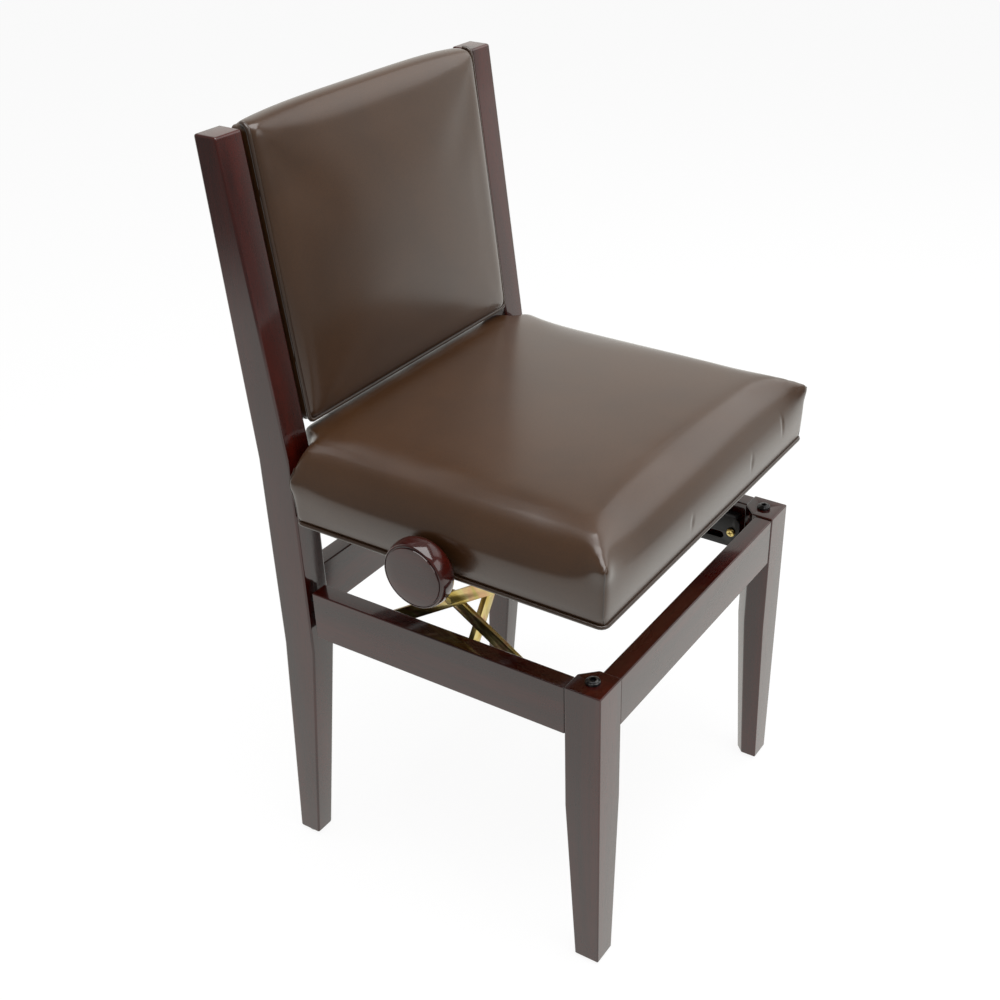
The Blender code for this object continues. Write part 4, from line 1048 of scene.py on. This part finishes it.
def pucker(mesh, half_depth):
    """Small upright creases in the front boxing."""
    points = points_of(mesh)
    front = points[:, 1] < VOXEL - half_depth
    for across, height, half_length in PUCKERS:
        aside = (points[:, 0] - across) / PUCKER_WIDTH
        above = (points[:, 2] - height) / half_length
        points[:, 1] += PUCKER_DEPTH * np.exp(-aside ** 2 - above ** 2) * front
    set_points(mesh, points)


def corner_seams(cover):
    """The upright seam down each corner of the seat's boxing."""
    low, high, *_ = seat_frame_box()
    points = points_of(cover.data)
    middle = np.array(((low.x + high.x) / 2, (low.y + high.y) / 2, 0.0))
    paths = []
    for across in (-1, 1):
        for along in (-1, 1):
            path = []
            for height in np.linspace(COVER_FOOT, EAR_TOP, SEAM_STEPS):
                slab = points[np.abs(points[:, 2] - low.z - height) < SEAM_SLAB]
                reach = (slab - middle) @ np.array((across, along, 0.0))
                spot = slab[np.argmax(reach)]
                path.append((spot[0], spot[1], low.z + height))
            paths.append(path)
    # A thin cord in the darker leather: its dark line is painted shade of the seam's groove.
    mesh = piping("corner_seams", paths, False, SEAM_RADIUS)
    new_piece("seat_corner_seams", mesh, PIPING_WITH_PAINTED_SHADE, "brown_leatherette", "seat")


def seat_piping():
    """Piping round the lower edge of the seat."""
    low, high, half_width, half_depth = seat_frame_box()
    offset = COVER_GAP + SEAT_PIPING_RADIUS
    outline = round_outline(half_width + offset, half_depth + offset, SEAT_CORNER + offset)
    middle = (low + high) / 2
    path = [(middle.x + x, middle.y + y, low.z + SEAT_PIPING_RADIUS) for x, y in outline]
    mesh = piping("seat_piping", [path], True, SEAT_PIPING_RADIUS)
    new_piece("seat_edge_piping", mesh, PIPING_WITH_PAINTED_SHADE, "brown_leatherette", "seat", "seat_piping")


# Back pad

def pad_frame():
    """The pad's own frame in the chair's, and half of the pad's width and height."""
    lower = centre_of("back_rod_lower")
    upper = centre_of("back_rod_upper")
    up = (upper - lower).normalized()
    forward = Vector((1, 0, 0)).cross(up)
    turn = Matrix((Vector((1, 0, 0)), up, forward)).transposed().to_4x4()
    middle = (lower + upper) / 2 + forward * ROD_DEPTH
    low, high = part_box("back_piping")
    return Matrix.Translation(middle) @ turn, (high.x - low.x) / 2, (upper - lower).length / 2 + ROD_INSET


def pad_profile(across, up, upper):
    """Round the board's edge, in under the piping and over the roll. The upper side has no piping."""
    loose = 1 - min(abs(across), abs(up)) ** ROLL_TIGHTENING
    piped = 1 - upper
    wall = -PAD_WALL_SET_IN * piped
    tuck = -2 * PAD_PIPING_RADIUS * piped
    start = blend(upper, PAD_ROLL_START, PAD_TOP_ROLL_START)
    rise = blend(loose, PAD_CORNER_TOP, PAD_ROLL_TOP) - start
    levels = [(wall, PAD_COVER_REAR - TUCK), (wall, PAD_COVER_REAR), (wall, start - TUCK), (tuck, start)]
    return levels + rolled(tuck, start, blend(loose, PAD_CORNER_REACH, PAD_ROLL_REACH), rise)


def back_cover():
    """The crowned leather front of the back, which rolls over the bowed top edge."""
    place, half_width, half_height = pad_frame()
    mesh = pillow("back_cover", half_width, half_height, PAD_CORNER, pad_profile, PAD_CROWN)
    mesh = modified(mesh, "REMESH", mode="VOXEL", voxel_size=VOXEL)
    bow_top(mesh, half_width, half_height)
    points = points_of(mesh)
    in_top = points[:, 1] > half_height - 3 * VOXEL
    held = points[:, 2] < np.where(in_top, PAD_TOP_ROLL_START, PAD_ROLL_START)
    mesh = softened(swollen(mesh, held, PAD_SWELL), PAD_SMOOTHING)
    board = PAD_PIPING_RADIUS - COVER_GAP
    inner = (half_width - board, half_height - board, PAD_CORNER - board)
    mesh = lined(mesh, PAD_COVER_REAR, inner, PAD_FOAM_REAR + COVER_GAP)
    mesh.transform(place)
    mesh = smooth_between_edges(mesh)
    piece = new_piece("back_cover", mesh, LEATHER, "brown_leatherette", "chair_frame", "back_cushion")


def bow_top(mesh, half_width, half_height):
    """Bow the pad's top edge up between the corners."""
    points = points_of(mesh)
    near_top = np.clip((points[:, 1] - half_height + PAD_BOW_REACH) / PAD_BOW_REACH, 0, 1) ** 2
    across = np.clip(1 - (points[:, 0] / half_width) ** PAD_BOW_FLATNESS, 0, 1)
    points[:, 1] += PAD_TOP_BOW * near_top * across
    set_points(mesh, points)


def back_welt():
    """Piping down both sides and along the bottom of the back pad, tucked back at its top ends."""
    place, half_width, half_height = pad_frame()
    radius = PAD_PIPING_RADIUS
    outline = round_outline(half_width - radius, half_height - radius, PAD_CORNER - radius)
    lower = [(x, y, 0.0) for x, y in outline if y < half_height - 2 * PAD_CORNER]
    first = max(range(len(lower)), key=lambda step: (lower[step][0] < 0) * (lower[step][1] + half_height))
    lower = lower[first:] + lower[:first]
    ends = [(half_width - radius - inward, half_height - drop, depth) for inward, drop, depth in WELT_END]
    path = [(-x, y, depth) for x, y, depth in reversed(ends)] + lower + ends
    mesh = piping("back_welt", [path], False, radius)
    mesh.transform(place)
    new_piece("back_welt", mesh, PIPING_WITH_PAINTED_SHADE, "brown_leatherette", "chair_frame", "back_piping")


def panel_profile(across, up, upper):
    """Up the panel's edge and round it, alike all the way."""
    inset = -PAD_PIPING_RADIUS
    straight = PANEL_THICKNESS - PANEL_ROUND
    return [(inset, 0.0), (inset, straight)] + rolled(inset, straight, PANEL_ROUND, PANEL_ROUND)


def back_panel():
    """The leather panel on the rear of the back, softly rounded at its edges."""
    place, half_width, half_height = pad_frame()
    mesh = pillow("back_panel", half_width, half_height, PAD_CORNER, panel_profile, PANEL_CROWN)
    about = Matrix.Rotation(math.pi, 4, "Y")
    mesh.transform(place @ Matrix.Translation((0, 0, PAD_COVER_REAR - COVER_GAP)) @ about)
    mesh = smooth_between_edges(mesh)
    piece = new_piece("back_panel", mesh, LEATHER, "brown_leatherette", "chair_frame", "back_rear_panel")


# Turned and threaded pieces

def knob():
    """The turned knob: a faintly domed face, a bulging rim and a shallow bead round the face."""
    low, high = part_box("knob")
    radius = (high.z - low.z) / 2
    length = high.x - low.x
    face = radius - KNOB_FACE_SET_IN
    bore = SCREW_RADIUS + COVER_GAP
    profile = [(0.0, length), (face * KNOB_DOME[0], length - KNOB_DOME[1])]
    profile += [(face - inward, length - drop) for inward, drop in KNOB_BEAD]
    for step in range(KNOB_RIM_STEPS + 1):
        turn = math.pi * step / KNOB_RIM_STEPS
        end = face if step < KNOB_RIM_STEPS / 2 else radius - KNOB_REAR_SET_IN
        along = length / 2 + (length / 2 - KNOB_RIM_DROP) * math.cos(turn)
        profile.append((end + (radius - end) * math.sin(turn), along))
    profile += [(bore, 0.0), (bore, KNOB_BORE), (0.0, KNOB_BORE)]
    at = (high.x, (low.y + high.y) / 2, (low.z + high.z) / 2)
    mesh = turned("turned_knob", profile, at, (-1, 0, 0))
    new_piece("turned_knob", mesh, FORE_AND_AFT, "mahogany_lacquer", "lift_screw", "knob")


def leg_bolts():
    """The domed bolts in the tops of the front legs, with a ring and a six-sided socket."""
    for side in SIDES:
        low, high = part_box(f"leg_bolt_{side}")
        radius = (high.x - low.x) / 2
        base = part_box(f"front_leg_{side}")[1].z + COVER_GAP
        rise = high.z - base
        foot = low.z - base
        profile = [(0.0, foot), (LEG_BOLT_SHANK, foot), (LEG_BOLT_SHANK, 0.0), (radius, 0.0)]
        profile += rounded_step(radius, rise * LEG_BOLT_EDGE[0], LEG_BOLT_EDGE[1])
        profile += [(radius * share, rise * height) for share, height in LEG_BOLT_RING]
        profile += [(radius * share, rise - drop, "six-sided") for share, drop in LEG_BOLT_SOCKET]
        profile.append((0.0, rise - SOCKET_DEPTH))
        at = ((low.x + high.x) / 2, (low.y + high.y) / 2, base)
        mesh = turned(f"leg_bolt_head_{side}", profile, at, (0, 0, 1))
        new_piece(f"socket_leg_bolt_{side}", mesh, BOLT, "black_steel", "chair_frame", f"leg_bolt_{side}")


def channel_bolts():
    """Cross-head bolts that hold the lower channels to the side rails."""
    names = both("channel_bolt_front", "channel_bolt_rear")
    spots = []
    facing = []
    for name in names:
        low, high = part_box(name)
        right = name.endswith("right")
        inward = 1.0 if right else -1.0
        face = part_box("base_channel_right")[1].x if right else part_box("base_channel_left")[0].x
        spots.append((face + inward * COVER_GAP, (low.y + high.y) / 2, (low.z + high.z) / 2))
        facing.append((inward, 0.0, 0.0))
    guide = path_mesh("bolt_spots", [[spot] for spot in spots], False)
    directions = guide.attributes.new("facing", "FLOAT_VECTOR", "POINT")
    directions.data.foreach_set("vector", np.array(facing, np.float32).ravel())
    mesh = grown(guide, CROSS_HEAD_TREE, {**CHANNEL_BOLT, "Finish": ZINC})
    new_piece("channel_bolts", mesh, ZINC, "yellow_zinc", "chair_frame", *names)


def lift_screw():
    """The lift screw, with opposite threads towards its two ends."""
    low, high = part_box("lift_screw")
    axis = ((low.y + high.y) / 2, (low.z + high.z) / 2)
    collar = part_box("screw_bush")[1].x + COVER_GAP
    start = collar - low.x
    stop = start + COLLAR_LENGTH
    end = high.x - low.x
    profile = [(0.0, 0.0), (SCREW_RADIUS - SCREW_CHAMFER, SCREW_CHAMFER), (SCREW_RADIUS, 2 * SCREW_CHAMFER)]
    profile += [(SCREW_RADIUS, start), (COLLAR_RADIUS, start), (COLLAR_RADIUS, stop), (SCREW_RADIUS, stop)]
    profile += [(SCREW_RADIUS, end), (0.0, end)]
    rod = turned("screw_rod", profile, (low.x, *axis), (1, 0, 0))
    shape = bmesh.new()
    shape.from_mesh(rod)
    middle = centre_of("jack_nut_right").lerp(centre_of("jack_nut_left"), 0.5).x
    threads = (
        (False, collar + THREAD_AFTER_COLLAR, middle - THREAD_FROM_MIDDLE),
        (True, middle + THREAD_FROM_MIDDLE, high.x - THREAD_FROM_END),
    )
    for left_hand, begin, end in threads:
        length = end - begin
        thread = grown(path_mesh("thread_spot", [[(0, 0, 0)]], False), THREAD_TREE, {
            "Radius": SCREW_RADIUS,
            "Height": length,
            "Turns": length / THREAD_PITCH,
            "Ridge": THREAD_HEIGHT,
            "Left Hand": left_hand,
            "Finish": STEEL,
        })
        thread.transform(Matrix.Translation((begin, *axis)) @ Matrix.Rotation(math.pi / 2, 4, "Y"))
        shape.from_mesh(thread)
    mesh = smooth_between_edges(as_mesh(shape, "threaded_screw"))
    new_piece("threaded_screw", mesh, STEEL, "bright_steel", "lift_screw", "lift_screw")


# Stage, light and camera

def white_rays(tree, shine):
    """1 for rays that see the backdrop itself or through glass, its shine in reflections, 0 for light."""
    camera, glossy, through = [tree.add("ShaderNodeLightPath", output=ray) for ray in (
        "Is Camera Ray", "Is Glossy Ray", "Is Transmission Ray",
    )]
    total = camera + glossy * shine + through
    return total.sum("MINIMUM", total, 1.0)


def camera_side(tree, direction):
    """1 on the camera's side of the room and 0 towards the backdrop."""
    away = (AIM - EYE).to_2d().normalized().to_3d()
    level = tree.add("ShaderNodeVectorMath", {"operation": "NORMALIZE"}, {0: direction})
    behind = tree.add("ShaderNodeVectorMath", {"operation": "DOT_PRODUCT"}, {0: level, 1: away}, "Value")
    return 1 - tree.between(behind, *BACKDROP)


def studio():
    """A pale floor under soft light, with a white surround."""
    world = bpy.data.worlds.new("studio")
    bpy.context.scene.world = world
    world.use_nodes = True
    world.node_tree.nodes.clear()
    tree = Tree(world.node_tree)
    direction = tree.add("ShaderNodeTexCoord", output="Object")
    height = tree.add("ShaderNodeSeparateXYZ", inputs={"Vector": direction}, output="Z")
    shine = 1 - tree.between(height, *CEILING) * CEILING_DIMMED
    shine = shine * (1 - camera_side(tree, direction) * BACKDROP_DIMMED) * SURROUND_SHINE
    strength = AMBIENT + white_rays(tree, shine) * (1.0 - AMBIENT)
    light = tree.add("ShaderNodeBackground", inputs={
        "Color": tree.mix(tree.add("ShaderNodeLightPath", output="Is Glossy Ray"), WHITE, WARM_WHITE),
        "Strength": strength,
    })
    tree.add("ShaderNodeOutputWorld", inputs={"Surface": light})

    floor_mesh = bpy.data.meshes.new("floor")
    corners = [(-FLOOR, -FLOOR, 0), (FLOOR, -FLOOR, 0), (FLOOR, FLOOR, 0), (-FLOOR, FLOOR, 0)]
    floor_mesh.from_pydata(corners, [], [(0, 1, 2, 3)])
    floor = bpy.data.objects.new("floor", floor_mesh)
    floor.location.z = -FLOOR_DROP
    bpy.context.scene.collection.objects.link(floor)
    floor_mesh.materials.append(pale_floor())

    for name, spot, size, power in LAMPS:
        lamp = bpy.data.lights.new(name, "AREA")
        lamp.shape = "RECTANGLE"
        lamp.size, lamp.size_y = size
        lamp.energy = power
        holder = bpy.data.objects.new(name, lamp)
        holder.location = spot
        holder.rotation_euler = (LIGHT_AIM - Vector(spot)).to_track_quat("-Z", "Y").to_euler()
        bpy.context.scene.collection.objects.link(holder)


def pale_floor():
    """White to the camera and in reflections, with the chair's soft shadow left on it."""
    finish = Finish("pale_floor")
    plain = finish.add("ShaderNodeBsdfDiffuse", inputs={"Color": grey(FLOOR_GREY)})
    shaded = finish.add("ShaderNodeBsdfDiffuse", inputs={"Color": grey(FLOOR_SHADED_GREY)})
    distance = finish.add("ShaderNodeVectorMath", {"operation": "LENGTH"}, {0: finish.place}, "Value")
    dim = finish.between(distance, *FLOOR_POOL) * camera_side(finish, finish.place) * BACKDROP_DIMMED
    glossy = finish.add("ShaderNodeLightPath", output="Is Glossy Ray")
    colour = finish.mix(glossy, WHITE, finish.mix(dim, WARM_WHITE, grey(0.0)))
    glow = finish.add("ShaderNodeEmission", inputs={"Color": colour, "Strength": FLOOR_GLOW})
    white = finish.add("ShaderNodeAddShader", inputs={0: shaded, 1: glow})
    seen = finish.add("ShaderNodeMixShader", inputs={0: white_rays(finish, 1.0), 1: plain, 2: white})
    finish.add("ShaderNodeOutputMaterial", inputs={"Surface": seen})
    return finish.material


def photo_camera():
    """The camera from which the photo was taken, as fitted to its edges."""
    forward = (AIM - EYE).normalized()
    right = forward.cross(Vector((0, 0, 1))).normalized()
    down = forward.cross(right)
    across = math.cos(ROLL) * right + math.sin(ROLL) * down
    below = math.cos(ROLL) * down - math.sin(ROLL) * right
    data = bpy.data.cameras.new("photo_view")
    data.lens = LENS
    data.sensor_width = SENSOR
    data.shift_x, data.shift_y = FRAME_SHIFT
    camera = bpy.data.objects.new("photo_view", data)
    bpy.context.scene.collection.objects.link(camera)
    turn = Matrix((across, -below, -forward)).transposed()
    camera.matrix_world = Matrix.Translation(EYE) @ turn.to_4x4()
    bpy.context.scene.camera = camera


PIPING_TREE = piping_tree()
THREAD_TREE = thread_tree()
CROSS_HEAD_TREE = cross_head_tree()

photo_camera()
studio()
bpy.context.scene.view_settings.view_transform = "Standard"

for upright in both("front_leg", "rear_post"):
    wooden(upright, UPRIGHT)
for rail in both("side_rail"):
    wooden(rail, FORE_AND_AFT)
for rail in ("front_rail", "rear_rail"):
    wooden(rail, CROSSWISE)
dress(CROSSWISE, "mahogany_lacquer", "seat_frame_front", "seat_frame_rear")
dress(FORE_AND_AFT, "mahogany_lacquer", "seat_frame_right", "seat_frame_left")

corner_seams(seat_cover())
seat_piping()
back_cover()
back_welt()
back_panel()
dress(SEAT_PLY, "plywood", "seat_board")
dress(BACK_PLY, "plywood", "back_board")

for arm in both("outer_arm", "inner_arm", "jack_link"):
    pressed(arm, ZINC, "yellow_zinc")
for plate in both("base_channel", "upper_channel", "jack_bracket"):
    pressed(plate, BLACK, "black_steel")
dress(ZINC, "yellow_zinc", *both("base_pivot_pin", "centre_pin", "roller_pin"))
dress(BLACK, "black_steel", "back_rod_lower", "back_rod_upper", *both("side_rail_bolt"))
dress(STEEL, "bright_steel", "front_slide_shaft", "rear_pivot_shaft", "screw_bush", "screw_end_bearing",
      *both("jack_nut"))
dress(NYLON, "black_nylon", *both("glide_front", "glide_rear"))
knob()
leg_bolts()
channel_bolts()
lift_screw()
